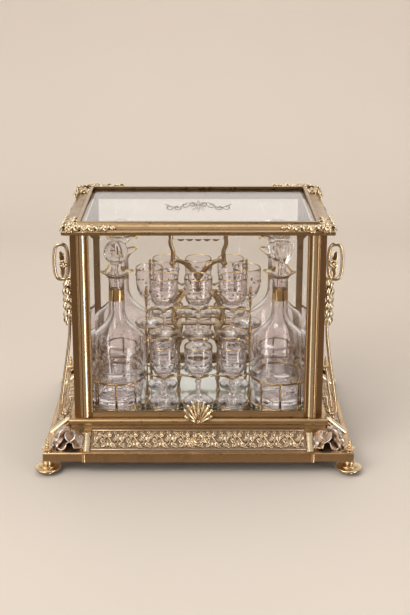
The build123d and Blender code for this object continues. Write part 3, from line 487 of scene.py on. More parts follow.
def gilding_tone_and_light_group():
    """Gilding: lighter on ridges, partly rubbed wear and partly painted highlight; darker in hollows, partly
    patina and partly painted shade; mottled and finely pitted.
    """
    tree, enter, leave = new_group(
        "gilding_tone_and_light",
        [("Body", "NodeSocketColor", (0.8, 0.56, 0.24, 1)), ("Ridge", "NodeSocketColor", (1, 0.85, 0.6, 1)),
         ("Hollow", "NodeSocketColor", (0.15, 0.07, 0.02, 1)), ("Mottle", "NodeSocketFloat", 160.0),
         ("Tone", "NodeSocketFloat", 0.5), ("RubAndHighlight", "NodeSocketFloat", 0.5), ("Pitting", "NodeSocketFloat", 0.2),
         ("Smoothest", "NodeSocketFloat", 0.22), ("Roughest", "NodeSocketFloat", 0.42)],
        [("Color", "NodeSocketColor"), ("Roughness", "NodeSocketFloat"), ("Height", "NodeSocketFloat")])
    place = add(tree, "ShaderNodeTexCoord").outputs["Object"]
    mottle = add(tree, "ShaderNodeTexNoise", [("Vector", place), ("Scale", enter.outputs["Mottle"]),
                                              ("Detail", 6.0), ("Roughness", 0.62)])
    broad = add(tree, "ShaderNodeTexNoise", [("Vector", place), ("Scale", 28.0), ("Detail", 3.0)])
    pits = add(tree, "ShaderNodeTexNoise", [("Vector", place), ("Scale", 900.0), ("Detail", 2.0)])
    ridge = add(tree, "ShaderNodeNewGeometry").outputs["Pointiness"]
    # Painted highlight: convex ridges, found by Pointiness, are lightened towards the Ridge colour, beside real
    # rubbed wear.
    raised = ramp(tree, ridge, [(0.50, grey(0)), (0.60, grey(1))])
    # Painted shade: concave hollows, found by Pointiness, are darkened towards the Hollow colour, beside real
    # patina.
    sunk = ramp(tree, ridge, [(0.40, grey(1)), (0.50, grey(0))])
    patch = ramp(tree, mottle.outputs["Fac"], [(0.42, grey(0)), (0.68, grey(1))])
    wash = ramp(tree, broad.outputs["Fac"], [(0.35, grey(0)), (0.7, grey(1))])
    # Random mottled toning of the gilding, darker in patches.
    shade = times(tree, times(tree, patch, enter.outputs["Tone"]), wash)
    dark = add(tree, "ShaderNodeMath", [(0, sunk), (1, shade)], operation="MAXIMUM", use_clamp=True)
    bright = times(tree, raised, enter.outputs["RubAndHighlight"])
    toned_and_shaded = blend(tree, dark.outputs[0], enter.outputs["Body"], enter.outputs["Hollow"])
    rubbed_and_highlit = blend(tree, bright, toned_and_shaded, enter.outputs["Ridge"])
    span = add(tree, "ShaderNodeMapRange", [
        ("Value", mottle.outputs["Fac"]), ("From Min", 0.3), ("From Max", 0.7),
        ("To Min", enter.outputs["Smoothest"]), ("To Max", enter.outputs["Roughest"])])
    pitted = times(tree, pits.outputs["Fac"], enter.outputs["Pitting"])
    height = add(tree, "ShaderNodeMath", [(0, pitted), (1, mottle.outputs["Fac"])], operation="ADD")
    tree.links.new(rubbed_and_highlit, leave.inputs["Color"])
    tree.links.new(span.outputs["Result"], leave.inputs["Roughness"])
    tree.links.new(height.outputs[0], leave.inputs["Height"])
    return tree


def handled_glass_group():
    """Old glass: a faint breath of dust and smears, and a gentle waviness."""
    tree, enter, leave = new_group(
        "handled_glass",
        [("Clear", "NodeSocketColor", (0.97, 0.98, 0.98, 1)),
         ("Smeared", "NodeSocketColor", (0.9, 0.92, 0.91, 1)),
         ("Smear", "NodeSocketFloat", 22.0), ("Wave", "NodeSocketFloat", 12.0),
         ("Polish", "NodeSocketFloat", 0.004), ("Haze", "NodeSocketFloat", 0.05)],
        [("Color", "NodeSocketColor"), ("Roughness", "NodeSocketFloat"), ("Height", "NodeSocketFloat")])
    place = add(tree, "ShaderNodeTexCoord").outputs["Object"]
    smear = add(tree, "ShaderNodeTexNoise", [("Vector", place), ("Scale", enter.outputs["Smear"]),
                                             ("Detail", 5.0), ("Distortion", 0.6)])
    wave = add(tree, "ShaderNodeTexNoise", [("Vector", place), ("Scale", enter.outputs["Wave"]),
                                            ("Detail", 1.0)])
    mask = ramp(tree, smear.outputs["Fac"], [(0.52, grey(0)), (0.78, grey(1))])
    tint = blend(tree, mask, enter.outputs["Clear"], enter.outputs["Smeared"])
    rough = add(tree, "ShaderNodeMapRange", [("Value", mask), ("To Min", enter.outputs["Polish"]),
                                             ("To Max", enter.outputs["Haze"])])
    tree.links.new(tint, leave.inputs["Color"])
    tree.links.new(rough.outputs["Result"], leave.inputs["Roughness"])
    tree.links.new(wave.outputs["Fac"], leave.inputs["Height"])
    return tree


def new_material(name):
    """A material with its node tree and its Principled shader."""
    material = bpy.data.materials.new(name)
    material.use_nodes = True
    tree = material.node_tree
    return material, tree, tree.nodes["Principled BSDF"]


def place_group(tree, name, values):
    """A shader group placed in a material with its own values."""
    node = tree.nodes.new("ShaderNodeGroup")
    node.node_tree = bpy.data.node_groups[name]
    for label, value in values.items():
        node.inputs[label].default_value = value
    return node


def bumped(tree, shader, height, strength, distance):
    """Feeds a height to the shader's normal."""
    bump = add(tree, "ShaderNodeBump", [("Height", height), ("Strength", strength), ("Distance", distance)])
    tree.links.new(bump.outputs["Normal"], shader.inputs["Normal"])


def gilded(name, body, ridge, hollow, mottle, tone, rub_and_highlight, smoothest, roughest, pitting=0.08, relief=0.00009):
    """Metal of the gilding group: lighter on ridges, partly wear and partly painted highlight, and darker in
    hollows, partly patina and partly painted shade. relief is the depth of its bumps in metres.
    """
    material, tree, shader = new_material(name)
    metal = place_group(tree, "gilding_tone_and_light", {
        "Body": (*body, 1), "Ridge": (*ridge, 1), "Hollow": (*hollow, 1), "Mottle": mottle, "Tone": tone,
        "RubAndHighlight": rub_and_highlight, "Pitting": pitting, "Smoothest": smoothest, "Roughest": roughest})
    tree.links.new(metal.outputs["Color"], shader.inputs["Base Color"])
    tree.links.new(metal.outputs["Roughness"], shader.inputs["Roughness"])
    shader.inputs["Metallic"].default_value = 1.0
    bumped(tree, shader, metal.outputs["Height"], 0.5, relief)
    return material


def glassy(name, clear, smeared, ior, smear, wave, haze, relief, polish=0.004, shadow=0.82):
    """Clear glass that lets light through to what stands behind it. shadow is the light left in its shade."""
    material, tree, shader = new_material(name)
    glass = place_group(tree, "handled_glass", {"Clear": (*clear, 1), "Smeared": (*smeared, 1), "Smear": smear,
                                                "Wave": wave, "Polish": polish, "Haze": haze})
    tree.links.new(glass.outputs["Color"], shader.inputs["Base Color"])
    tree.links.new(glass.outputs["Roughness"], shader.inputs["Roughness"])
    bumped(tree, shader, glass.outputs["Height"], 0.4, relief)
    shader.inputs["Transmission Weight"].default_value = 1.0
    shader.inputs["IOR"].default_value = ior
    light = add(tree, "ShaderNodeLightPath")
    through = add(tree, "ShaderNodeBsdfTransparent", [("Color", (shadow, shadow, shadow * 0.98, 1))])
    mix = add(tree, "ShaderNodeMixShader", [(0, light.outputs["Is Shadow Ray"]), (1, shader.outputs[0]),
                                            (2, through.outputs[0])])
    tree.links.new(mix.outputs[0], tree.nodes["Material Output"].inputs["Surface"])
    return material


def stained_wood(name, pale, dark):
    """Polished wood with its grain along X."""
    material, tree, shader = new_material(name)
    place = add(tree, "ShaderNodeTexCoord").outputs["Object"]
    laid = add(tree, "ShaderNodeMapping", [("Vector", place), ("Scale", (14.0, 260.0, 260.0))])
    grain = add(tree, "ShaderNodeTexNoise", [("Vector", laid.outputs[0]), ("Scale", 1.0), ("Detail", 8.0)])
    colour = ramp(tree, grain.outputs["Fac"], [(0.3, (*dark, 1)), (0.7, (*pale, 1))])
    tree.links.new(colour, shader.inputs["Base Color"])
    shader.inputs["Roughness"].default_value = 0.45
    bumped(tree, shader, grain.outputs["Fac"], 1.0, 0.0002)
    return material


def silvered_mirror(name, silver, foxed):
    """Old silvering with foxed spots."""
    material, tree, shader = new_material(name)
    place = add(tree, "ShaderNodeTexCoord").outputs["Object"]
    spots = add(tree, "ShaderNodeTexVoronoi", [("Vector", place), ("Scale", 60.0), ("Randomness", 1.0)])
    cloud = add(tree, "ShaderNodeTexNoise", [("Vector", place), ("Scale", 16.0), ("Detail", 6.0)])
    near = ramp(tree, spots.outputs["Distance"], [(0.05, grey(1)), (0.22, grey(0))])
    patch = ramp(tree, cloud.outputs["Fac"], [(0.5, grey(0)), (0.66, grey(1))])
    tint = blend(tree, times(tree, near, patch), (*silver, 1), (*foxed, 1))
    tree.links.new(tint, shader.inputs["Base Color"])
    rough = add(tree, "ShaderNodeMapRange", [("Value", patch), ("To Min", 0.03), ("To Max", 0.16)])
    tree.links.new(rough.outputs["Result"], shader.inputs["Roughness"])
    shader.inputs["Metallic"].default_value = 1.0
    return material


def build_materials():
    """Every finish of the object, by the name of what wears it."""
    gilding_tone_and_light_group()
    handled_glass_group()
    f = finishes()
    gold, cream, umber, bronze = tuple(f.gold), tuple(f.cream), tuple(f.umber), tuple(f.bronze)
    clear, plate = tuple(f.clear), tuple(f.plate)
    leaf_silver = tuple(0.82 * c for c in f.blush)
    MATERIALS.update({
        # Each gilded finish below is lightened on ridges and darkened in hollows by the gilding group: partly
        # wear and patina, partly painted highlight and painted shade.
        "moulding": gilded("worn_moulding", bronze, gold, umber,
                           mottle=90.0, tone=0.55, rub_and_highlight=0.35, smoothest=0.24, roughest=0.44),
        # The lid frame gets a darker copy of the moulding's gilding.
        "lid": gilded("darker_lid_moulding", (0.33, 0.215, 0.115), gold, umber,
                      mottle=90.0, tone=0.55, rub_and_highlight=0.35, smoothest=0.22, roughest=0.40),
        # Painted shade: posts, rails and stiles get a much darker copy of the moulding's gilding for the shade
        # they stand in.
        "post": gilded("shaded_post_gilding", (0.30, 0.185, 0.09), bronze, umber,
                       mottle=70.0, tone=0.5, rub_and_highlight=0.3, smoothest=0.24, roughest=0.42),
        "burnished": gilded("burnished_gilding", gold, cream, umber,
                            mottle=130.0, tone=0.3, rub_and_highlight=0.7, smoothest=0.14, roughest=0.32),
        "relief": gilded("toned_relief", (0.50, 0.36, 0.23), (0.88, 0.74, 0.55), umber,
                         mottle=240.0, tone=0.6, rub_and_highlight=0.7, smoothest=0.24, roughest=0.46),
        "mount": gilded("toned_mount", (0.50, 0.35, 0.19), cream, (0.07, 0.035, 0.015),
                        mottle=150.0, tone=0.6, rub_and_highlight=0.9, smoothest=0.15, roughest=0.32),
        "leafwork": gilded("silvery_leafwork", leaf_silver, (0.86, 0.77, 0.70), (0.16, 0.10, 0.07),
                           mottle=180.0, tone=0.45, rub_and_highlight=0.7, smoothest=0.22, roughest=0.44),
        "ground": gilded("frieze_ground", (0.24, 0.165, 0.11), (0.44, 0.32, 0.22), (0.06, 0.04, 0.03),
                         mottle=200.0, tone=0.7, rub_and_highlight=0.3, smoothest=0.34, roughest=0.55),
        "rackwork": gilded("rack_gilding", (0.33, 0.215, 0.11), gold, (0.09, 0.045, 0.02),
                           mottle=120.0, tone=0.5, rub_and_highlight=0.6, smoothest=0.16, roughest=0.30, relief=0.00003),
        "tray": gilded("polished_tray", (0.62, 0.64, 0.60), (0.84, 0.85, 0.81), (0.34, 0.33, 0.30),
                       mottle=40.0, tone=0.3, rub_and_highlight=0.4, smoothest=0.05, roughest=0.16),
        # Painted highlight: the stile beads get a paler, scarcely mottled copy of the gilding for the light along
        # their round.
        "bead": gilded("highlit_bead_gilding", (0.80, 0.68, 0.47), cream, umber,
                       mottle=60.0, tone=0.1, rub_and_highlight=0.2, smoothest=0.22, roughest=0.30, pitting=0.0,
                       relief=0.00002),
        # Painted shade: the gilt dots are coloured dark brown for how dark they look, not their own gold.
        "dots": gilded("fired_dots", (0.13, 0.075, 0.05), (0.3, 0.2, 0.13), (0.05, 0.03, 0.02),
                       mottle=300.0, tone=0.3, rub_and_highlight=0.3, smoothest=0.3, roughest=0.45, relief=0.00003),
        "steel": gilded("dull_steel", (0.42, 0.41, 0.39), (0.7, 0.69, 0.66), (0.12, 0.10, 0.09),
                        mottle=200.0, tone=0.5, rub_and_highlight=0.4, smoothest=0.3, roughest=0.5),
        "rim_gold": gilded("fired_gilding", (0.66, 0.46, 0.22), (0.92, 0.76, 0.46), (0.3, 0.17, 0.05),
                           mottle=300.0, tone=0.4, rub_and_highlight=0.5, smoothest=0.12, roughest=0.25, relief=0.00005),
        "plate": glassy("bevelled_plate", plate, (0.91, 0.92, 0.91),
                        ior=1.5, smear=9.0, wave=5.0, polish=0.0, haze=0.02, relief=0.00002, shadow=0.9),
        "thin": glassy("blown_glass", clear, (0.94, 0.935, 0.945),
                       ior=1.46, smear=60.0, wave=35.0, haze=0.02, relief=0.000005),
        "cut": glassy("cut_glass", clear, (0.93, 0.925, 0.94),
                      ior=1.5, smear=45.0, wave=22.0, haze=0.02, relief=0.000008),
        "frosted": glassy("engraved_glass", (0.90, 0.84, 0.76), (0.84, 0.77, 0.68),
                          ior=1.46, smear=200.0, wave=300.0, polish=0.35, haze=0.6, relief=0.0001),
        "wood": stained_wood("floor_wood", (0.20, 0.10, 0.05), (0.07, 0.03, 0.015)),
        "mirror": silvered_mirror("floor_silvering", (0.66, 0.69, 0.66), (0.22, 0.19, 0.15)),
    })


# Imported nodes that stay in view, by finish.
CARRIED = {
    "moulding": ("plinth_band", "plinth_body", "plinth_torus", "front_rail"),
    "lid": ("lid_frame",),
    "post": ("case_posts", "case_rails", "front_stiles"),
    "ground": ("plinth_friezes", "keyhole_escutcheon"),
    "burnished": ("frieze_pilasters", "hinge_leaves_case", "hinge_leaves_lid"),
    "steel": ("foot_studs", "lock_case", "lock_bolt", "hinge_pins"),
    "wood": ("floor_board",),
    "mirror": ("floor_mirror",),
    "plate": ("right_glass", "left_glass", "back_glass", "lid_glass", "front_glass"),
    "tray": ("rack_tray",),
    "rackwork": ("rack_columns", "rack_shelf", "rack_galleries", "decanter_cradles", "rack_handle"),
}


def dress_carried():
    """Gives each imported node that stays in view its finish."""
    for finish, nodes in CARRIED.items():
        for obj in (frame["nodes"][node] for node in nodes):
            for slot in obj.material_slots:
                slot.material = MATERIALS[finish]
            if not obj.material_slots:
                obj.data.materials.append(MATERIALS[finish])


# ---------------------------------------------------------------- glassware

BOWL = 18.4  # radius of a glass's bowl under its cut rings
GILT_LIP, GILT_SPOUT = 1.3, 1.6  # heights of the gilt edge on a glass and on a decanter
DOT_SPREAD = 0.37  # step of the dots' heights, as a share of the height they cover


def glass_profile(h, foot, rim, wall):
    """Outside from the foot up, over the lip and down the inside, with two cut rings round the bowl."""
    knop, bead = 0.40 * h, 0.36 * h
    outer = [(0, 0.5), (0, 0.5), (foot - 5, 0.1), (foot - 0.8, 0.0), (foot, 0.7), (foot - 1.2, 1.4), (9.0, 3.0),
             (4.2, 6.0), (2.9, 12.0), (2.6, 20.0), (3.0, bead - 4), (4.6, bead - 1), (4.4, bead + 1),
             (3.2, bead + 2.6), (5.6, knop + 1.6), (11.8, 0.47 * h), (16.0, 0.56 * h), (BOWL, 0.66 * h),
             (rim - 0.5, 0.74 * h)]
    rings = []
    for z in (0.77 * h, 0.81 * h):
        rings += [(rim - 0.25, z - 0.6), (rim - 0.42, z), (rim - 0.2, z + 0.6)]
    lip = [(rim - 0.05, 0.9 * h), (rim - 0.1, h - 0.6), (rim - wall / 2, h), (rim - wall, h - 0.6)]
    inner = [(rim - wall - 0.1, 0.86 * h), (rim - wall - 0.5, 0.74 * h), (BOWL - wall, 0.67 * h),
             (15.6 - wall, 0.575 * h), (10.8 - wall, 0.505 * h), (4.0, 0.475 * h), (0, 0.468 * h),
             (0, 0.468 * h)]
    return outer + rings + lip + inner


def glass_mesh(name):
    """One stemmed glass standing on the origin, with its gilt lip and dots."""
    low, high = node_box("lower_glass_1")
    h = high.z - low.z
    foot = half_width("lower_glass_1")
    rim, wall = foot - 2.0, 1.2
    bm = bmesh.new()

    def band(z, share):
        return 1 if z > h - GILT_LIP else 0

    lathe(bm, glass_profile(h, foot, rim, wall), sides=sizes().ware_sides, steps=3, band=band)
    for k in range(sizes().dots):
        a = TAU * (k * GOLDEN)
        z = h * (0.62 + 0.30 * ((k * DOT_SPREAD) % 1.0))
        r = rim - 0.05 if z > 0.74 * h else BOWL - 0.2
        ball(bm, (r * math.cos(a), r * math.sin(a), z), sizes().dot_size / MM, level=1, material=2)
    return welded_mesh(name, bm)


def stand_copy(pattern, node, finish_names, turn=0.0):
    """A copy of a piece made on the origin, set where the node stands."""
    mid = node_middle(node)
    mesh = pattern.copy()
    foot = Vector((mid.x, mid.y, node_box(node)[0].z))
    mesh.transform(Matrix.Translation(foot * MM) @ Matrix.Rotation(turn, 4, "Z"))
    return place_piece(f"{node}_ware", mesh, body_of(node), finish_names, (node,))


def decanter_mesh(name):
    """A cut decanter standing on the origin: fluted foot, panelled neck and a lip with three spouts."""
    low, high = node_box("decanter_1")
    h = high.z - low.z
    r = (high.y - low.y) / 2
    neck, bore = 11.0, 8.1
    flare = h - 12.0

    def modelled(radius, z, a):
        if z < 12 and radius > 26:
            radius -= 0.6 * (0.5 + 0.5 * math.cos(24 * a)) * max(0.0, 1 - abs(z - 6) / 6)
        if flare - 26 < z < flare - 1 and radius > 9:
            radius -= 0.35 * abs(math.cos(4 * a))
        if z > flare:
            t = (z - flare) / (h - flare)
            t = t * t * (3 - 2 * t)
            spout = 0.5 + 0.5 * math.cos(3 * a)
            grown = radius * (1 + 0.42 * t * spout ** 1.6)
            dip = -4.2 * t * (1 - spout) ** 1.2
            return grown * math.cos(a), grown * math.sin(a) * (1 - 0.05 * t), dip
        return radius

    base, belly = r - 9.0, h - 113.0

    def wall(z):
        return base + 9.0 * min(1.0, max(0.0, (z - 5.0) / (belly - 5.0)))

    outer = [(0, 1.2), (0, 1.2), (20, 0.6), (base - 4, 0.0), (base - 1.6, 0.6), (base - 0.2, 3.4),
             (base + 0.6, 8)]
    rings = []
    for z in (44.0, 52.0):
        rings += [(wall(z) - 0.15, z - 0.8), (wall(z) - 0.35, z), (wall(z) - 0.1, z + 0.8)]
    # the shoulder: shares of the way out from neck to belly, with heights over its turn
    fall = ((0.995, -8), (0.985, -3), (0.955, 2), (0.875, 6), (0.735, 10), (0.445, 18), (0.215, 26),
            (0.095, 33), (0.025, 40))
    turn = h - 104.0
    shoulder = [(neck + f * (r - neck) - 0.15, turn + z) for f, z in fall]
    shoulder += [(neck, turn + 46), (neck, turn + 59.5), (neck, turn + 60.5), (neck, turn + 75.5),
                 (neck, turn + 76.5), (neck, flare - 4), (neck + 1.4, flare), (15.2, h - 6), (18.0, h - 2),
                 (19.0, h - 0.8)]
    lip = [(18.4, h), (17.2, h - 0.8)]
    inner = [(13.4, h - 6), (bore + 1.0, flare), (bore, flare - 6), (bore, turn + 44)]
    inner += [(neck + f * (r - neck) - 3.0, turn + z - 1.5) for f, z in reversed(fall)]
    inner += [(wall(60) - 3.2, 60), (wall(30) - 3.2, 30), (base - 3.2, 11), (20, 6.4), (0, 5.6), (0, 5.6)]
    bm = bmesh.new()

    def band(z, share):
        if turn + 60 < z < turn + 76 and share < 0.62:
            return 1
        return 1 if z > h - GILT_SPOUT else 0

    lathe(bm, outer + rings + shoulder + lip + inner, sides=sizes().ware_sides + 32, steps=3, shape=modelled,
          band=band)
    for k in range(sizes().dots + 6):
        a, z = TAU * k * GOLDEN, 26 + 60 * ((k * DOT_SPREAD) % 1.0)
        out = wall(z) + 0.1
        ball(bm, (out * math.cos(a), out * math.sin(a), z), 0.7 * sizes().dot_size / MM, level=1, material=2)
    return welded_mesh(name, bm)


def stopper_mesh(name, fluted):
    """A stopper standing on the origin: a fluted mushroom, or a ball cut in two rows of facets."""
    node = "stopper_2" if fluted else "stopper_1"
    low, high = node_box(node)
    h, r = high.z - low.z, half_width(node)
    base = h - (38.5 if fluted else 40.0)
    bm = bmesh.new()
    peg = [(0, 0.6), (0, 0.6), (6.0, 0.0), (6.9, 0.8), (7.5, base - 12), (8.4, base - 9), (7.8, base - 2)]
    if fluted:
        def cut(radius, z, a):
            if z > base + 4 and radius > 4:
                t = min(1.0, (z - base - 4) / 22)
                return radius * (1 - 0.09 * t * (0.5 + 0.5 * math.cos(12 * a)))
            return radius

        head = [(7.0, base + 2), (8.0, base + 6), (11.6, base + 13), (15.6, base + 20), (18.0, base + 27),
                (r, base + 31), (r - 1.4, base + 35), (10.0, h - 0.8), (0, h), (0, h)]
    else:
        def cut(radius, z, a):
            if z > base + 6 and radius > 5:
                t = math.sin(math.pi * min(1.0, (z - base - 6) / 34))
                facet = abs(((a * 10 / TAU + (0.5 if z > base + 23 else 0)) % 1.0) - 0.5) * 2
                return radius * (1 - 0.05 * t * (1 - facet))
            return radius

        head = [(6.8, base + 2), (7.4, base + 5)]
        head += [(r * math.cos(t), base + 23 + r * math.sin(t)) for t in
                 (math.radians(-58 + 148 * i / 10) for i in range(11))]
        head = head[:-1] + [(0, h), (0, h)]
    lathe(bm, peg + head, sides=60, steps=4, shape=cut)
    return welded_mesh(name, bm)


# ---------------------------------------------------------------- turned feet and finials

FOOT_RADIUS, FINIAL_RADIUS = 17.3, 7.2


def foot_piece():
    """Turned feet under the corners."""
    bm = bmesh.new()
    low, high = node_box("feet")
    h, r = high.z - low.z, FOOT_RADIUS
    profile = [(0, 0), (0, 0), (7.6, 0), (8.5, 0.8), (8.5, 2.6), (8.0, 3.6), (10.6, 4.4), (14.6, 5.2),
               (r - 0.5, 6.6), (r, 7.7), (r - 0.6, 8.6), (14.0, 9.4), (11.2, 10.0), (11.2, 10.0), (11.4, 10.9),
               (9.6, 11.8), (7.0, 12.8), (6.2, 13.6), (6.6, 14.4), (7.6, 15.0), (7.6, 16.2), (6.8, 17.0),
               (7.4, h - 0.4), (7.4, h), (7.4, h), (0, h), (0, h)]
    for sx, sy in corners():
        lathe(bm, profile, (sx * (high.x - r), sy * (high.y - r), low.z), sides=48, steps=4)
    for v in bm.verts:
        v.co.z = max(v.co.z, 0.0)
    make_piece("turned_feet", bm, "case", "burnished", ("feet",))


def finial_piece():
    """Turned finials on the corners of the lower moulding."""
    bm = bmesh.new()
    low, high = node_box("corner_finials")
    h, r = high.z - low.z, FINIAL_RADIUS
    profile = [(0, 0), (0, 0), (4.6, 0), (4.7, 0.9), (3.6, 1.6), (2.5, 2.4), (2.6, 3.2), (5.6, 4.2), (r, 5.0),
               (r, 5.5), (5.4, 6.0), (3.0, 6.6), (2.2, 7.6), (2.9, 9.0), (2.9, 10.2), (1.9, 11.6), (2.4, 13.0),
               (2.4, 14.2), (1.5, 15.8), (1.2, 17.4), (0.8, 19.0), (0, h), (0, h)]
    for sx, sy in corners():
        lathe(bm, profile, (sx * (high.x - r), sy * (high.y - r), low.z), sides=32, steps=4)
    make_piece("turned_finials", bm, "case", "burnished", ("corner_finials",))


# ---------------------------------------------------------------- plinth ornament

def corner_leaf_piece():
    """Three lobed leaves lapped over each corner of the plinth, with curled tips."""
    bm = bmesh.new()
    low, high = node_box("corner_leaves")
    torus = node_box("plinth_torus")[1]
    x, y, foot = torus.x, torus.y, low.z
    knot = Vector((x - 1, -y + 1, high.z - 2))
    flank = [knot, knot + Vector((-6, -8, -4)), Vector((x - 14, -y - 14, foot + 8.5)),
             Vector((x - 19, -y - 19, foot + 3.4)), Vector((x - 20.5, -y - 21.5, foot + 5.2))]
    other = [Vector((x + (-p.y - y), -y - (x - p.x), p.z)) for p in flank]
    middle = [knot + Vector((-1, 1, 0)), knot + Vector((4, -4, -3)), Vector((x + 10, -y - 10, foot + 8)),
              Vector((x + 15.5, -y - 15.5, foot + 3.2)), Vector((x + 18, -y - 18, foot + 5.4))]
    for spine, side, width in ((flank, (0.75, -0.45, 0.25), 30), (other, (-0.45, 0.75, -0.25), 30),
                               (middle, (0.7, 0.7, 0), 40)):
        leaf(bm, spine, side, width, lobes=2, lobe_depth=0.30, cup=0.20, vein=0.16, thick=1.6, rows=34, cols=14,
             stem=0.8)
    for spine in (flank, other, middle):
        ball(bm, spine[3] + Vector((0, 0, 1.0)), 1.7)
    ball(bm, knot + Vector((2.2, -2.2, -1.5)), 3.0, (1, 1, 0.9))
    for k in range(5):
        a = math.radians(165 + 30 * k)
        tip = knot + Vector((math.cos(a) * -8, math.sin(a) * 8, -5.5))
        path = [knot + Vector((1, -1, -1)), (knot + tip) / 2 + Vector((1.4, -1.4, 1.4)), tip]
        tube(bm, path, [1.6, 1.2, 0.7], sides=8, steps=5)
    mirrored(bm, x=True, y=True)
    make_piece("leaf_corners", bm, "case", "leafwork", ("corner_leaves",))


def scroll_motif(name, width, height, flip):
    """One leaf scroll of the frieze, flat on X and Y with its relief along Z, in millimetres."""
    bm = bmesh.new()
    w, up = width, -height if flip else height
    stem = [(-w * 0.55, -up * 0.30, 0.8), (-w * 0.30, -up * 0.06, 1.3), (-w * 0.02, up * 0.26, 1.5),
            (w * 0.24, up * 0.24, 1.4), (w * 0.34, 0, 1.3), (w * 0.18, -up * 0.18, 1.3),
            (w * 0.02, -up * 0.04, 1.4), (w * 0.10, up * 0.08, 1.6)]
    tube(bm, stem, [1.0, 1.0, 0.95, 0.85, 0.7], sides=8, steps=5)
    rosette(bm, (w * 0.12, 0, 1.4), height * 0.13, petals=5)
    leaves = (((-w * 0.34, -up * 0.10), (-w * 0.30, up * 0.20), (-w * 0.14, up * 0.44)),
              ((-w * 0.18, up * 0.10), (w * 0.02, up * 0.38), (w * 0.22, up * 0.46)),
              ((w * 0.20, up * 0.25), (w * 0.40, up * 0.26), (w * 0.50, up * 0.44)),
              ((-w * 0.42, -up * 0.20), (-w * 0.24, -up * 0.36), (-w * 0.04, -up * 0.42)),
              ((w * 0.32, -up * 0.04), (w * 0.26, -up * 0.30), (w * 0.10, -up * 0.44)),
              ((w * 0.34, 0), (w * 0.48, -up * 0.18), (w * 0.46, -up * 0.42)))
    for a, b, c in leaves:
        spine = [Vector((*a, 0.7)), Vector((*b, 2.2)), Vector((*c, 0.9))]
        across = Vector((-(c[1] - a[1]), c[0] - a[0], 0))
        leaf(bm, spine, across, height * 0.27, lobes=2, rows=10, cols=5, thick=0.7, cup=0.3, vein=0.3, stem=0.5)
    mesh = welded_mesh(name, bm)
    mesh.shade_smooth()
    return linked(name, mesh)


def shape_tree(name, inputs):
    """An empty Geometry Nodes tree with its named inputs, and the identifiers of their sockets."""
    tree = bpy.data.node_groups.new(name, "GeometryNodeTree")
    tree.interface.new_socket("Geometry", in_out="INPUT", socket_type="NodeSocketGeometry")
    identifiers = {}
    for label, kind, value in inputs:
        socket = tree.interface.new_socket(label, in_out="INPUT", socket_type=kind)
        if value is not None:
            socket.default_value = value
        identifiers[label] = socket.identifier
    tree.interface.new_socket("Geometry", in_out="OUTPUT", socket_type="NodeSocketGeometry")
    return tree, identifiers, tree.nodes.new("NodeGroupInput"), tree.nodes.new("NodeGroupOutput")


def made_real(tree, shape, enter, leave):
    """Ends a tree: its instances are made real and take the finish."""
    real = add(tree, "GeometryNodeRealizeInstances", [("Geometry", shape.outputs[0])])
    paint = add(tree, "GeometryNodeSetMaterial", [("Geometry", real.outputs[0]),
                                                  ("Material", enter.outputs["Finish"])])
    tree.links.new(paint.outputs[0], leave.inputs[0])


def row_tree():
    """Geometry Nodes: a motif repeated along a line, two patterns taking turns, made real."""
    tree, identifiers, enter, leave = shape_tree("motif_row", (
        ("First motif", "NodeSocketObject", None), ("Second motif", "NodeSocketObject", None),
        ("Count", "NodeSocketInt", 6), ("Pitch", "NodeSocketFloat", 0.02),
        ("Finish", "NodeSocketMaterial", None)))
    step = add(tree, "ShaderNodeCombineXYZ", [("X", enter.outputs["Pitch"])])
    line = add(tree, "GeometryNodeMeshLine", [("Count", enter.outputs["Count"]), ("Offset", step.outputs[0])])
    index = add(tree, "GeometryNodeInputIndex")
    parity = add(tree, "ShaderNodeMath", [(0, index.outputs[0]), (1, 2.0)], operation="MODULO")
    odd = add(tree, "FunctionNodeCompare", [(0, parity.outputs[0]), (1, 0.5)], data_type="FLOAT",
              operation="GREATER_THAN")
    even = add(tree, "FunctionNodeCompare", [(0, parity.outputs[0]), (1, 0.5)], data_type="FLOAT",
               operation="LESS_EQUAL")
    join = tree.nodes.new("GeometryNodeJoinGeometry")
    for label, chosen in (("First motif", even), ("Second motif", odd)):
        info = add(tree, "GeometryNodeObjectInfo", [("Object", enter.outputs[label])])
        put = add(tree, "GeometryNodeInstanceOnPoints",
                  [("Points", line.outputs["Mesh"]), ("Selection", chosen.outputs[0]),
                   ("Instance", info.outputs["Geometry"])])
        tree.links.new(put.outputs[0], join.inputs[0])
    made_real(tree, join, enter, leave)
    return tree, identifiers


def run_tree(tree, identifiers, values, source=None):
    """Evaluates a Geometry Nodes tree with the given inputs and returns a plain mesh."""
    holder = linked("tree_holder", source or bpy.data.meshes.new("tree_holder"))
    modifier = holder.modifiers.new("tree", "NODES")
    modifier.node_group = tree
    for label, value in values.items():
        modifier[identifiers[label]] = value
    graph = bpy.context.evaluated_depsgraph_get()
    mesh = bpy.data.meshes.new_from_object(holder.evaluated_get(graph), depsgraph=graph)
    holder.modifiers.remove(modifier)
    bpy.data.objects.remove(holder)
    return mesh


PANEL_LONG, PANEL_SHORT = 288.0, 156.0  # lengths of the frieze panels along front and sides


def frieze_places():
    """For each side: the length of its panel, the panel's slope, and the matrix that lays a row on it."""
    low, high = node_box("plinth_friezes")
    run = node_box("plinth_torus")[1].y - 1.5 - high.y
    rise = high.z - low.z
    places = []
    for turn, reach, length in ((0, high.y, PANEL_LONG), (90, high.x, PANEL_SHORT),
                                (180, high.y, PANEL_LONG), (270, high.x, PANEL_SHORT)):
        middle = Vector((0, -reach - run / 2, low.z + rise / 2 + 0.15))
        lay = (Matrix.Rotation(math.radians(turn), 4, "Z") @ Matrix.Translation(middle * MM)
               @ Matrix.Rotation(math.atan2(rise, -run), 4, "X"))
        places.append((length, math.hypot(run, rise), lay))
    return places


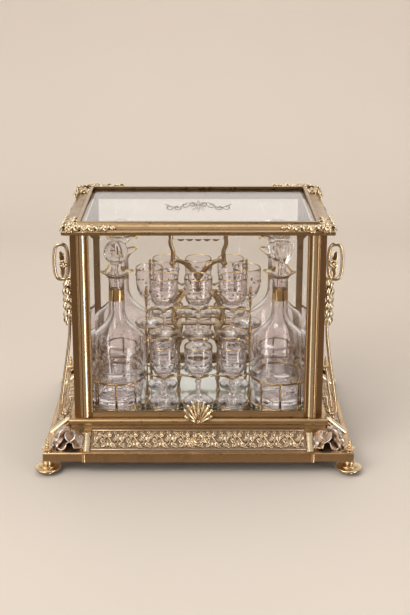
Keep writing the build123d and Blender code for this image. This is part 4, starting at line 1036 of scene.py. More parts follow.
def frieze_piece():
    """Leaf scrolls along the four panels, between raised fillets."""
    tree, identifiers = row_tree()
    bm = bmesh.new()
    motifs = []
    for length, slope, lay in frieze_places():
        count = max(2, round(sizes().motifs * length / PANEL_LONG))
        count += count % 2
        pitch = (length - 8) / count
        pair = [scroll_motif(f"frieze_motif_{len(motifs)}_{k}", pitch, slope * 0.70, k == 1) for k in (0, 1)]
        motifs += pair
        mesh = run_tree(tree, identifiers, {"First motif": pair[0], "Second motif": pair[1], "Count": count,
                                            "Pitch": pitch * MM, "Finish": MATERIALS["relief"]})
        mesh.transform(Matrix.Translation(Vector((-(count - 1) * pitch / 2, -slope * 0.02, 0)) * MM))
        mesh.transform(lay)
        bm.from_mesh(mesh)
    border_for_frieze(bm)
    final = mesh_of("frieze_scrolls", bm)
    final.materials.clear()
    place_piece("frieze_scrolls", final, "case", ("relief",))
    for obj in motifs:
        bpy.data.objects.remove(obj)


def border_for_frieze(bm):
    """A raised fillet along the foot and head of each panel, and a row of darts under the head."""
    for length, slope, lay in frieze_places():
        local = bmesh.new()
        half = length / 2 - 1
        for v, r in ((slope * 0.42, 0.9), (-slope * 0.42, 0.8)):
            tube(local, [(-half, v, 0.4), (0, v, 0.4), (half, v, 0.4)], r, sides=8, steps=2)
        darts = int(length / 9)
        for k in range(darts):
            x = -half + (k + 0.5) * 2 * half / darts
            spine = [Vector((x, slope * share, z)) for share, z in ((0.40, 0.5), (0.34, 1.5), (0.25, 0.5))]
            leaf(local, spine, (1, 0, 0), 4.4, rows=6, cols=4, thick=0.7, cup=0.5)
        to_metres(local)
        bmesh.ops.transform(local, matrix=lay, verts=local.verts)
        mesh = mesh_of("border", local)
        bm.from_mesh(mesh)
        bpy.data.meshes.remove(mesh)


def lock_plate_piece():
    """A wreathed lock plate on the front frieze, round the keyhole."""
    bm = bmesh.new()
    lay = frieze_places()[0][-1]
    for a in (TAU * k / 12 for k in range(12)):
        out = Vector((math.cos(a), math.sin(a), 0))
        spine = [out * r + Vector((0, 0, z)) for r, z in ((6.6, 2.0), (8.4, 3.2), (10.4, 1.0))]
        leaf(bm, spine, Vector((-out.y, out.x, 0)), 5.0, rows=8, cols=4, thick=0.8, cup=0.5)
    tube(bm, round_path((0, 0, 2.6), 6.0, 12), 1.2, sides=10, steps=3, closed=True)
    for s in (-1, 1):
        tube(bm, curl((s * 12.5, 0, 1.6), 0.5 if s > 0 else 0, s * 1.1, 4.2, 1.0, ((1, 0, 0), (0, 1, 0))),
             [1.2, 0.8], sides=8, steps=3)
    to_metres(bm)
    bmesh.ops.transform(bm, matrix=lay, verts=bm.verts)
    place_piece("lock_wreath", mesh_of("lock_wreath", bm), "case", ("burnished",))


# ---------------------------------------------------------------- side scrolls

def one_scroll(side, lid_foot, foot):
    """A bracket in the plane Y = 0, from the post's side face: ring, husk drop and looped strap."""
    bm = bmesh.new()
    cx, cz = side + 12.5, lid_foot - 41.5
    wide, tall = 9.2, 24.0
    ring = [(cx + wide * math.copysign(abs(math.cos(t)) ** 0.62, math.cos(t)), 0.0,
             cz + tall * math.copysign(abs(math.sin(t)) ** 0.8, math.sin(t))) for t in
            (TAU * k / 20 for k in range(20))]
    tube(bm, ring, 2.4, sides=12, steps=3, closed=True)
    for dy in (-0.8, 0.8):
        leaf(bm, [(cx - 1.5, dy, cz - tall + 3), (cx - 2.2, dy * 3, cz - 6), (cx - 0.5, dy, cz + 10),
                  (cx + 2.0, 0, cz + 15)], (1, 0, 0), 9.0, lobes=4, rows=22, cols=6, thick=0.8, cup=0.3 * dy)
    rosette(bm, (cx - 3.0, -1.6, cz - 2), 6.4, (0.1, -1, 0))
    hx = side + 5.0
    for k in range(6):
        sway = 1.1 if k % 2 else -1.1
        start = Vector((hx + sway, 0, cz - tall + 1.0 - k * 10.2))
        for turn in range(4):
            t = TAU * turn / 4 + 0.5 + 0.6 * k
            out = Vector((math.cos(t), math.sin(t), 0))
            spine = [start, start + out * 4.0 + Vector((0, 0, -4.5)),
                     start + out * 5.6 + Vector((-sway, 0, -9.5)),
                     start + out * (4.6 if turn % 2 else 3.0) + Vector((-sway, 0, -13.5))]
            leaf(bm, spine, out.cross(Vector((0, 0, 1))), 7.4 - 0.45 * k, lobes=3, rows=12, cols=4, thick=0.7,
                 cup=0.35)

    def bar(points, radii, sides=12, steps=7):
        """A strap through (out from the drop, height over the post's foot) points."""
        tube(bm, [(hx + x, 0, foot + z) for x, z in points], radii, sides=sides, steps=steps)

    bar([(-1.4, cz - tall - 58 - foot), (-0.2, 112), (3.4, 84), (8.0, 54), (12.4, 26), (14.2, 10), (13.8, 2.0),
         (11.0, -1.6), (7.4, -1.2), (4.8, 2.6), (3.2, 10), (1.6, 24)], [1.8, 2.3, 2.4, 2.4, 2.4, 2.3, 2.0])
    bar([(-0.4, 68), (3.0, 44), (6.6, 22), (8.6, 8)], [1.4, 1.8, 1.8, 1.4])
    ring_foot = cz - tall - foot
    bar([(-4.6, ring_foot + 2), (3.5, ring_foot + 1), (7.5, ring_foot + 0.6)], 1.6, sides=8, steps=6)
    bar([(-4.6, 68), (-0.4, 68), (5.4, 67)], 1.5, sides=8, steps=6)
    bar([(-4.6, 24), (1.6, 24)], 1.2, sides=8, steps=3)
    bar([(11, -1.4), (11, -7)], 2.0, sides=8, steps=3)
    leaf(bm, [(hx + 6, -1.5, foot + 0.5), (hx + 3.5, -2.5, foot + 8), (hx + 2.4, -1.5, foot + 15)],
         (1, 0, 0), 6.0, lobes=3, rows=14, cols=5, thick=0.8)
    return mesh_of("one_scroll", bm)


def side_scroll_piece():
    """Ring, husk drop and looped strap beside each corner post."""
    low, high = node_box("case_posts")
    pattern = one_scroll(high.x, node_box("lid_frame")[0].z, low.z)
    bm = bmesh.new()
    for y in (low.y + 6.0, high.y - 6.0):
        copy = pattern.copy()
        copy.transform(Matrix.Translation((0, y, 0)))
        bm.from_mesh(copy)
        bpy.data.meshes.remove(copy)
    bpy.data.meshes.remove(pattern)
    mirrored(bm)
    make_piece("scroll_brackets", bm, "case", "mount", ("side_scrolls",))


# ---------------------------------------------------------------- cover ornament

MOUNT_LAP = 2.6  # how far the lid's mounts stand out past the frame


def mount_arm(bm, base, along, out, length, top, ledge):
    """One arm of a lid mount: a waving stem with C-scrolls and leaves, and buds along the frame's edge."""
    def up(z):
        return Vector((0, 0, z))

    plane = (tuple(along), tuple(out))
    tip = length - 10
    wave = []
    for i in range(9):
        t = i / 8
        off = 3.2 * math.sin(3.2 * math.pi * t) * (1 - 0.3 * t)
        wave.append(base + along * (5 + (tip - 5) * t) + out * off + up(top - 5.2 - 1.6 * t))
    tube(bm, wave, [2.6, 2.2, 2.0, 1.7, 1.4], sides=10, steps=5)
    for i, (t, lift) in enumerate(((0.14, 1), (0.34, -1), (0.54, 1), (0.74, -1))):
        start = base + along * (5 + (tip - 5) * t) + up(top - 5.4)
        loop = curl(start + out * lift * 3.6, 0.25 * lift, 0.85, 4.2 - 0.5 * i, 1.3, plane, 8)
        tube(bm, loop, [1.6, 1.3, 0.9], sides=8, steps=4)
        spine = [start, start + along * 6 + out * lift * 2.4 + up(2.6),
                 start + along * 12 + out * lift * 4.8 + up(-0.6)]
        leaf(bm, spine, out, 6.4 - 0.6 * i, lobes=3, rows=14, cols=5, thick=1.0, cup=0.35, stem=0.5)
    end = base + along * tip + up(top - 6.6)
    tube(bm, curl(end, 0.5, 1.2, 4.6, 1.0, plane, 10), [1.7, 1.3, 0.9], sides=8, steps=4)
    big = [base + along * 2 + up(top - 3.4), base + along * 14 + out * 4 + up(top - 2.6),
           base + along * 26 + out * 5.5 + up(top - 7.5)]
    leaf(bm, big, out, 10.0, lobes=4, rows=20, cols=8, thick=1.2, cup=0.3, stem=0.6)
    for i in range(6):
        spot = base + out * 9.4 + along * (9.5 * i) + up(ledge + 2.2 + (0.9 if i % 2 else -0.9))
        if i in (0, 2):
            rosette(bm, spot, 6.4 - 0.5 * i, tuple(out + up(0.7)), petals=5)
        else:
            loop = curl(spot, 0.25 * i, 0.9, 4.0 - 0.3 * i, 1.3, (tuple(along), (0, 0, 1)), 8)
            tube(bm, loop, [1.7, 1.4, 1.0], sides=8, steps=4)
        spine = [spot, spot + along * 5 + out * 2.0 + up(2.4), spot + along * 10 - up(1.5)]
        leaf(bm, spine, (0, 0, 1), 6.6 - 0.5 * i, lobes=3, rows=12, cols=5, thick=1.0, cup=0.35, stem=0.5)


def lid_mount_piece():
    """Foliate mounts over the lid's corners: a rosette, C-scrolls and a curled leaf along each arm."""
    top = node_box("lid_corner_mounts")[1].z
    frame_low, frame_high = node_box("lid_frame")
    ledge = frame_low.z + 6.5
    for name, front, reach in (("front", -1, 66.0), ("rear", 1, 50.0)):
        bm = bmesh.new()
        corner = Vector((frame_high.x - 10.5, front * (frame_high.y - 10.5), 0))
        rosette(bm, corner + Vector((0, 0, top - 4.6)), 8.6, (0.15, front * 0.35, 1), petals=7)
        across, back = Vector((1, 0, 0)), Vector((0, -front, 0))
        mount_arm(bm, corner, -across, -back, reach, top, ledge)
        mount_arm(bm, corner, back, across, reach - 18, top, ledge)
        for v in bm.verts:
            v.co.z = min(max(v.co.z, ledge - 6.0), top - 0.02)
            v.co.x = min(v.co.x, frame_high.x + MOUNT_LAP)
            v.co.y = max(-frame_high.y - MOUNT_LAP, min(v.co.y, frame_high.y + MOUNT_LAP))
        mirrored(bm)
        replaced = ("lid_corner_mounts",) if name == "front" else ()
        make_piece(f"lid_mounts_{name}", bm, "cover", "mount", replaced)


def palmette_piece():
    """Fan of curled lobes rising from a point, with a bud in the middle."""
    bm = bmesh.new()
    low, high = node_box("palmette_pull")
    y = node_box("front_rail")[0].y
    root = Vector((0, y - 2.6, low.z + 1.6))
    for k in (-4, -3, -2, -1, 1, 2, 3, 4, 0):
        lean = math.radians((0, 15, 29, 44, 60)[abs(k)]) * (1 if k > 0 else -1)
        reach = (high.z - root.z) * (0.97, 0.93, 0.84, 0.76, 0.58)[abs(k)]
        way = Vector((math.sin(lean), 0, math.cos(lean))) * reach
        across = Vector((way.z, 0, -way.x)).normalized()
        spine = [root, root + way * 0.36 + Vector((0, -4.4, 0)), root + way * 0.76 + Vector((0, -5.2, 0)),
                 root + way + Vector((0, -3.4, 0))]
        leaf(bm, spine, across, 5.6 if k else 7.6, rows=16, cols=8, thick=1.4, cup=0.62, vein=0.25, stem=0.3,
             point=0.4)
        ball(bm, root + way * 0.95 + Vector((0, -4.6, 0)), 2.1, (1, 0.9, 1))
    ball(bm, (0, y - 6.6, low.z + 25), 4.6, (0.9, 0.8, 1.25), level=3)
    ball(bm, root + Vector((0, -3.2, 2)), 2.8, (1, 0.9, 1.5))
    for v in bm.verts:
        v.co = (min(max(v.co.x, low.x - 3), high.x + 3), min(max(v.co.y, low.y), y + 1),
                min(max(v.co.z, low.z), high.z))
    make_piece("palmette_fan", bm, "cover", "mount", ("palmette_pull",))


def stile_bead_piece():
    """Half-round bar down each stile of the glazed front."""
    bm = bmesh.new()
    low, high = node_box("front_stiles")
    face = node_box("front_rail")[0].y
    r = 5.6
    x, proud = high.x - r, face - low.y
    section = [(x - r * math.cos(a), proud * math.sin(a) - 0.05) for a in (math.pi * k / 20 for k in range(21))]
    rows = [[bm.verts.new((px, face - out, z)) for px, out in section] for z in (low.z + 0.6, high.z - 0.6)]
    skin(bm, rows)
    bm.faces.new(rows[0])
    bm.faces.new(rows[1][::-1])
    mirrored(bm)
    make_piece("stile_beads", bm, "cover", "bead", sharp=True)


def lid_engraving_piece():
    """A floral cartouche engraved under the lid's glass, cut with a flat section and drawn out along Y."""
    bm = bmesh.new()
    top = node_box("lid_glass")[1].z
    z = top - 0.1
    for s in (-1, 1):
        for k in range(4):
            centre = (s * (8 + 10.5 * k), 4.0 * math.cos(1.3 * k), z)
            loop = curl(centre, 0.5 if s > 0 else 0.0, s * 0.9, 5.6, 1.6, ((1, 0, 0), (0, 1, 0)), 8)
            tube(bm, loop, 1.0, sides=6, steps=3, flat=0.25, up=(0, 0, 1))
        tube(bm, [(0, 0, z), (s * 14, 6, z), (s * 28, -4, z), (s * 46, 3, z)], 0.9, sides=6, steps=6, flat=0.25,
             up=(0, 0, 1))
    for t in (TAU * k / 8 for k in range(8)):
        out = Vector((math.cos(t), math.sin(t), 0))
        spine = [out * r + Vector((0, 0, z + lift)) for r, lift in ((2, -0.2), (7.5, 0), (12, -0.2))]
        leaf(bm, spine, (-out.y, out.x, 0), 4.2, rows=8, cols=4, thick=0.2, cup=0.02, vein=0.02)
    for v in bm.verts:
        v.co = (v.co.x, v.co.y * 2.7, min(v.co.z, top + 0.15))
    make_piece("lid_engraving", bm, "cover", "frosted")


# ---------------------------------------------------------------- wires and edges along a path

def wire_tree():
    """Geometry Nodes: a round wire along a path of edges."""
    tree, identifiers, enter, leave = shape_tree("round_wire", (
        ("Radius", "NodeSocketFloat", 0.0013), ("Sides", "NodeSocketInt", 10),
        ("Finish", "NodeSocketMaterial", None)))
    path = add(tree, "GeometryNodeMeshToCurve", [("Mesh", enter.outputs["Geometry"])])
    section = add(tree, "GeometryNodeCurvePrimitiveCircle", [("Resolution", enter.outputs["Sides"]),
                                                             ("Radius", enter.outputs["Radius"])])
    wire = add(tree, "GeometryNodeCurveToMesh", [("Curve", path.outputs[0]),
                                                 ("Profile Curve", section.outputs[0]), ("Fill Caps", True)])
    made_real(tree, wire, enter, leave)
    return tree, identifiers


def draw_wires(bm, paths, radius, steps=6, sides=10):
    """Adds gilt wires along paths of millimetre points to a millimetre bmesh."""
    tree, identifiers = wire_tree()
    for points, closed in paths:
        line = smooth(points, steps, closed)
        n = len(line)
        edges = [(i, i + 1) for i in range(n - 1)] + ([(n - 1, 0)] if closed else [])
        path = bpy.data.meshes.new("path")
        path.from_pydata([p * MM for p in line], edges, [])
        wire = run_tree(tree, identifiers, {"Radius": radius * MM, "Sides": sides,
                                            "Finish": MATERIALS["rackwork"]}, path)
        wire.transform(Matrix.Scale(1 / MM, 4))
        bm.from_mesh(wire)
        bpy.data.meshes.remove(wire)
    for face in bm.faces:
        face.material_index = 0


# ---------------------------------------------------------------- rack ornament

POST_INSET = 3.2  # from the outside of the rack's corner posts to their middle


def rack_y():
    """The rack's middle in Y."""
    return node_middle("rack_tray").y


def tray_top():
    """Height of the tray's upper face."""
    return node_box("rack_tray")[1].z


def shelf_levels():
    """Heights of the shelf's under side and top."""
    return tuple(corner.z for corner in node_box("rack_shelf"))


def rack_posts():
    """The corner posts' distances from the rack's middle in X and Y."""
    high = node_box("rack_columns")[1]
    return high.x - POST_INSET, high.y - rack_y() - POST_INSET


def lyre_legs_piece():
    """Turned balusters at the corners, and leafy lyre legs crossing under the handle."""
    bm = bmesh.new()
    ry, z = rack_y(), tray_top()
    under, top = shelf_levels()
    bx, by = rack_posts()
    span = under - z
    rise = node_box("rack_columns")[1].z - top
    leg_x, leg_y = 28.2, 21.5  # the inner columns, from the rack's middle
    lower = [(0, 0), (0, 0), (3.0, 0), (3.1, 2), (2.0, 4), (1.5, 6), (2.6, 9), (2.9, 13), (2.0, 19), (1.3, 28),
             (1.2, span * 0.44), (1.7, span * 0.46), (1.2, span * 0.48), (1.2, span - 20), (1.6, span - 10),
             (1.2, span - 5), (1.7, span - 2), (1.7, span), (1.7, span), (0, span), (0, span)]
    upper = [(0, 0), (0, 0), (1.7, 0), (1.8, 1.6), (1.4, 4), (2.4, 8), (2.9, 12), (2.0, 17), (1.3, 26),
             (1.3, 48), (2.0, 50), (1.4, 52), (2.6, rise - 22), (1.5, rise - 18), (3.1, rise - 15),
             (1.6, rise - 11.6), (2.7, rise - 8.6), (1.5, rise - 5.6), (2.0, rise - 3.6), (1.2, rise - 1.2),
             (0, rise), (0, rise)]
    post = [(0, 0), (0, 0), (3.4, 0), (3.4, 1.6), (2.2, 3.4), (2.0, span * 0.30), (3.0, span * 0.34),
            (2.0, span * 0.38), (1.8, span * 0.7), (3.2, span * 0.86), (2.0, span - 5), (3.4, span - 1.6),
            (3.4, span), (3.4, span), (0, span), (0, span)]
    for sx, sy in corners():
        lathe(bm, lower, (sx * bx, ry + sy * by, z), sides=20, steps=3)
        lathe(bm, upper, (sx * bx, ry + sy * by, top), sides=20, steps=3)
        foot = Vector((sx * leg_x, ry + sy * leg_y, 0))
        leg = [(sx * 20, ry + sy * 7, z + 141), (sx * 30, ry + sy * 12, z + 126),
               (sx * 36, ry + sy * 19, z + 106), (sx * 29, ry + sy * leg_y, top),
               (sx * leg_x, ry + sy * leg_y, top - 0.2)]
        tube(bm, leg, [2.6, 2.9, 2.9, 2.6, 2.6], sides=12, steps=7)
        lathe(bm, post, (sx * leg_x, ry + sy * leg_y, z), sides=20, steps=3)
        for t in (TAU * k / 4 + 0.4 for k in range(4)):
            out = Vector((math.cos(t), math.sin(t), 0))
            spine = [foot + out * r + Vector((0, 0, under - drop))
                     for r, drop in ((2.0, 26), (5.0, 16), (7.0, 7))]
            leaf(bm, spine, out.cross(Vector((0, 0, 1))), 6.0, lobes=2, rows=10, cols=4, thick=0.7, cup=0.3)
    for y in (ry - leg_y, ry + leg_y):
        bar = [(x, y, top + up) for x, up in ((-34, 15), (-18, 16.5), (0, 16), (18, 16.5), (34, 15))]
        tube(bm, bar, [1.2, 1.6, 1.4, 1.6, 1.2], sides=8, steps=6)
        for s in (-1, 1):
            tube(bm, curl((s * 26, y, top + 19), 0.25, s * 0.9, 3.2, 1.0), [1.4, 1.1, 0.9], sides=8, steps=4)
    make_piece("lyre_legs", bm, "rack", "rackwork", ("rack_columns",))


def gallery_piece():
    """Leafy scalloped rails in front of the glasses, at two heights, front and back."""
    bm = bmesh.new()
    ry = rack_y()
    low, high = node_box("rack_galleries")
    bx, by = rack_posts()
    inner = 23.5  # the knops between the middle scallop and its neighbours
    for level, out, near in ((low.z + 1.4, 76.0, 68.0), (high.z - 1.4, 58.0, 50.0)):
        for sy in (-1, 1):
            knots = ((-bx, by), (-inner, near), (inner, near), (bx, by))
            for (x0, y0), (x1, y1) in zip(knots, knots[1:]):
                xm = (x0 + x1) / 2
                mid = Vector((xm, ry + sy * out, level - 1.0))
                rail = [(x0, ry + sy * y0, level),
                        (x0 + (xm - x0) * 0.45, ry + sy * (y0 + (out - y0) * 0.72), level + 1.2), mid,
                        (x1 + (xm - x1) * 0.45, ry + sy * (y1 + (out - y1) * 0.72), level + 1.2),
                        (x1, ry + sy * y1, level)]
                tube(bm, rail, [1.6, 1.3, 1.1, 1.3, 1.6], sides=9, steps=6)
                for s in (-1, 1):
                    spine = [mid + Vector((s * 1.5, 0, 0)),
                             (xm + s * (x1 - x0) * 0.26, ry + sy * (out - 1.5), level + 2.2),
                             (xm + s * (x1 - x0) * 0.40, ry + sy * ((out + near) / 2), level + 0.6)]
                    leaf(bm, spine, (0, 0, 1), 4.4, lobes=2, rows=12, cols=5, thick=0.9, cup=0.3, stem=0.4)
                ball(bm, mid + Vector((0, sy * -0.2, 0)), 2.3, (1.2, 0.8, 1))
            for s in (-1, 1):
                ball(bm, (s * inner, ry + sy * near, level), 2.4)
    for v in bm.verts:
        v.co.y = max(v.co.y, low.y)
    make_piece("scalloped_rails", bm, "rack", "rackwork", ("rack_galleries",))


def cradle_ring():
    """Middle of a decanter in X, and the radius of the wire round it."""
    side = node_middle("decanter_2").x
    return side, node_box("decanter_cradles")[1].x - side - 1.3


def cradle_feet():
    """Where the cradles stand: three feet round the outside of each decanter, and the way each foot faces."""
    ry = rack_y()
    side, radius = cradle_ring()
    reach = radius + 0.8
    away = node_middle("decanter_3").y - ry
    feet = []
    for sx, sy in corners():
        for a in map(math.radians, (50, 90, 130)):
            way = Vector((sx * math.cos(a), sy * math.sin(a), 0))
            feet.append((sx * side + way.x * reach, ry + sy * away + way.y * reach, way))
    return feet


def cradle_piece():
    """Wire rings round the decanters on flat legs with ball knops."""
    bm = bmesh.new()
    ry, z = rack_y(), tray_top()
    rise = 36.0
    ring_z = z + rise
    side, radius = cradle_ring()
    flasks = [node_middle(f"decanter_{i}") for i in range(1, 5)]
    draw_wires(bm, [(round_path((c.x, c.y, ring_z), radius), True) for c in flasks], 1.45, steps=6, sides=12)
    inner = flasks[2].y - ry - radius
    ties = [([(x, ry - inner, ring_z), (x, ry, ring_z + 0.4), (x, ry + inner, ring_z)], False)
            for x in (-side, side)]
    draw_wires(bm, ties, 1.9, steps=3)
    for x, y, out in cradle_feet():
        base = Vector((x, y, z))
        strap = [base + Vector((0, 0, up)) for up in (1.2, 12, 24, rise)]
        tube(bm, strap, [1.9, 1.5, 1.5, 1.7], sides=8, steps=3, flat=0.6, up=out)
        ball(bm, base + Vector((0, 0, rise + 0.4)), 2.3)
        ball(bm, base + Vector((0, 0, 14)), 2.0, (1, 1, 0.7))
        lathe(bm, [(0, 0), (0, 0), (3.0, 0), (3.0, 0.9), (2.0, 1.8), (1.2, 3.0), (0, 3.4), (0, 3.4)], base,
              sides=16, steps=3)
    make_piece("wire_cradles", bm, "rack", "rackwork", ("decanter_cradles",))


def handle_piece():
    """Turned stem, leafy arms, knobs and a scalloped grip."""
    bm = bmesh.new()
    y, z = rack_y(), tray_top()
    half = node_box("rack_handle")[1].x - POST_INSET
    bar, grip = z + 142, z + 222  # heights of the crossbar and the grip

    def level_bar(points, height, radii, steps=6):
        """A bar along X through (x, rise over its height) points."""
        tube(bm, [(x, y, height + up) for x, up in points], radii, sides=12, steps=steps)

    level_bar(((-29, 0), (-14, 1.2), (0, 0), (14, 1.2), (29, 0)), bar, [2.0, 2.6, 3.0, 2.6, 2.0])
    for s in (-1, 1):
        for sy in (-1, 1):
            tube(bm, [(s * 24, y, bar), (s * 21, y + sy * 4.5, bar - 0.6), (s * 20, y + sy * 7, bar - 1)], 2.3,
                 sides=8, steps=3)
        ball(bm, (s * 29, y, bar), 3.0)
        ball(bm, (s * 12, y, bar + 1), 3.3, (1.3, 1, 1))
        ball(bm, (s * 20, y, bar + 0.6), 3.0, (1.2, 1, 1))
    stem = [(0, 0), (0, 0), (4.6, 0), (4.8, 1.4), (3.2, 3.0), (3.0, 6), (4.4, 9), (4.8, 12), (3.4, 16), (2.8, 19),
            (4.0, 22), (4.2, 24), (2.6, 26), (0, 26.6), (0, 26.6)]
    lathe(bm, stem, (0, y, bar - 2), sides=28, steps=4)
    for s in (-1, 1):
        arm = [(s * x, y, z + up) for x, up in ((0, 162), (5, 168), (11, 175), (21, 184), (31, 187),
                                                (half - 3, 184), (half - 3.6, 200), (half, 211), (half, 222))]
        tube(bm, arm, [4.0, 3.4, 3.1, 3.0, 3.1, 3.0, 2.8], sides=14, steps=6)
        knob = s * (half - 2.5)
        for up, radius, squash, level in ((183, 4.6, 0.8, 3), (188.4, 3.2, 0.7, 2), (178, 2.8, 0.7, 2),
                                          (194, 2.9, 0.6, 2)):
            ball(bm, (knob, y, z + up), radius, (1, 1, squash), level=level)
        for sy in (-1, 1):
            spine = [(s * x, y + sy * out, z + up) for x, out, up in ((4, 1, 167), (13, 3.5, 178.5),
                                                                      (24, 2.5, 187.6))]
            leaf(bm, spine, (s * 0.3, 0, -1), 7.5, lobes=3, rows=16, cols=6, thick=1.0, cup=0.3, stem=0.4)
    for i in range(-2, 3):
        ball(bm, (i * 12.2, y, grip - 1.4), 5.6, (1.12, 0.74, 0.92), level=3)
    for s in (-1, 1):
        ball(bm, (s * 33.0, y, grip - 1), 3.6, (1.2, 0.9, 0.9))
        ball(bm, (s * half, y, grip), 3.3)
    level_bar(((-half, 0), (-20, 1), (0, 1.4), (20, 1), (half, 0)), grip, 3.0, steps=5)
    make_piece("grip_handle", bm, "rack", "rackwork", ("rack_handle",))


def shelf_edge_piece():
    """A gilt wire round the pad under each upper glass, with a bud in front of each gap."""
    bm = bmesh.new()
    ry = rack_y()
    mid = sum(shelf_levels()) / 2
    radius = half_width("upper_glass_2") - 1.9
    places = [node_middle(f"upper_glass_{i}") for i in range(1, 9)]
    draw_wires(bm, [(round_path((c.x, c.y, mid), radius), True) for c in places], 1.25, steps=3)
    step = abs(places[1].x - places[0].x)
    for sy in (-1, 1):
        for s in (-0.5, 0.5):
            ball(bm, (s * step, ry + sy * (ry - places[1].y + 5), mid), 1.9)
    make_piece("shelf_edge", bm, "rack", "rackwork")


def outline_of(discs, half_x, half_y, count):
    """The edge of discs joined by a block in the middle, seen from the middle, as (x, y) points."""
    points = []
    for k in range(count):
        a = TAU * k / count
        cx, cy = math.cos(a), math.sin(a)
        far = min(half_x / max(abs(cx), 1e-6), half_y / max(abs(cy), 1e-6))
        for x, y, r in discs:
            near = x * cx + y * cy
            gap = near * near - (x * x + y * y - r * r)
            if gap > 0:
                far = max(far, near + math.sqrt(gap))
        points.append((far * cx, far * cy))
    return points


def tray_edge_piece():
    """Wavy gilt edge round the tray."""
    bm = bmesh.new()
    ry, z = rack_y(), tray_top()
    flasks = [node_middle(f"decanter_{i}") for i in range(1, 5)]
    glasses = [node_middle(f"lower_glass_{i}") for i in range(1, 9)]
    foot = half_width("lower_glass_1")
    row = abs(glasses[0].y - ry)
    discs = [(c.x, c.y - ry, half_width("decanter_1") - 1.9) for c in flasks]
    discs += [(c.x, c.y - ry, foot + 1.6) for c in glasses]
    edge = [(x, ry + y, z + 0.3) for x, y in outline_of(discs, abs(flasks[0].x), row, 144)]
    draw_wires(bm, [(edge, True)], 1.2, steps=2, sides=8)
    for sx, sy in corners():
        ball(bm, (sx * (foot + 2), ry + sy * (row + 1.2), z + 1.2), 1.8)
    make_piece("tray_edge", bm, "rack", "rackwork")


# ---------------------------------------------------------------- glassware in place

FLASK_TURNS = (100, 80, -100, -80)  # degrees, so that each decanter shows its own side


def glassware():
    """Glasses, decanters and stoppers, each a copy of its pattern standing in its place."""
    glass = glass_mesh("stemmed_glass")
    flask = decanter_mesh("cut_decanter")
    heads = [stopper_mesh("ball_stopper", False), stopper_mesh("fluted_stopper", True)]
    for level in ("lower", "upper"):
        for i in range(1, 9):
            stand_copy(glass, f"{level}_glass_{i}", ("thin", "rim_gold", "dots"), turn=0.7 * i)
    for i, turn in enumerate(FLASK_TURNS, 1):
        stand_copy(flask, f"decanter_{i}", ("cut", "rim_gold", "dots"),
                   turn=math.radians(turn))
        stand_copy(heads[1 - i % 2], f"stopper_{i}", ("cut", "rim_gold"))
    for pattern in (glass, flask, *heads):
        bpy.data.meshes.remove(pattern)


# ---------------------------------------------------------------- stage

def sweep_material(name, colour):
    """The floor's finish. What is mirrored out through the case's glass looks past it to the room."""
    material, tree, shader = new_material(name)
    place = add(tree, "ShaderNodeTexCoord").outputs["Object"]
    cloud = add(tree, "ShaderNodeTexNoise", [("Vector", place), ("Scale", 3.0), ("Detail", 2.0)])
    pale = tuple(min(1.0, c * 1.02) for c in colour)
    tree.links.new(ramp(tree, cloud.outputs["Fac"], [(0.3, (*colour, 1)), (0.7, (*pale, 1))]),
                   shader.inputs["Base Color"])
    shader.inputs["Roughness"].default_value = 0.75
    light = add(tree, "ShaderNodeLightPath")
    turned = add(tree, "ShaderNodeMath", [(0, light.outputs["Glossy Depth"]), (1, 0.5)],
                 operation="GREATER_THAN")
    past = times(tree, light.outputs["Is Transmission Ray"], turned.outputs[0])
    clear = add(tree, "ShaderNodeBsdfTransparent")
    mix = add(tree, "ShaderNodeMixShader", [(0, past), (1, shader.outputs[0]), (2, clear.outputs[0])])
    tree.links.new(mix.outputs[0], tree.nodes["Material Output"].inputs["Surface"])
    return material


def sweep_piece(colour):
    """A floor that bends up into a backdrop."""
    half, back, high, bend = 3.0, 1.5, 3.0, 0.5
    profile = [(-3.0, 0.0), (back - bend, 0.0)]
    profile += [(back - bend + bend * math.sin(t), bend - bend * math.cos(t)) for t in
                (math.pi / 2 * k / 12 for k in range(1, 13))]
    profile.append((back, high))
    bm = bmesh.new()
    skin(bm, [[bm.verts.new((x, y, z)) for x in (-half, half)] for y, z in profile], wrap=False)
    bmesh.ops.recalc_face_normals(bm, faces=bm.faces)
    mesh = mesh_of("sweep", bm)
    mesh.shade_smooth()
    mesh.materials.append(sweep_material("pale_sweep", colour))
    return linked("sweep", mesh)


def area_light(name, place, aim, size, power, colour):
    """A soft lamp aimed at a point."""
    data = bpy.data.lights.new(name, "AREA")
    data.shape = "RECTANGLE"
    data.size, data.size_y = size
    data.energy = power
    data.color = colour
    obj = linked(name, data)
    obj.location = place
    obj.rotation_euler = (Vector(aim) - Vector(place)).to_track_quat("-Z", "Y").to_euler()
    return obj


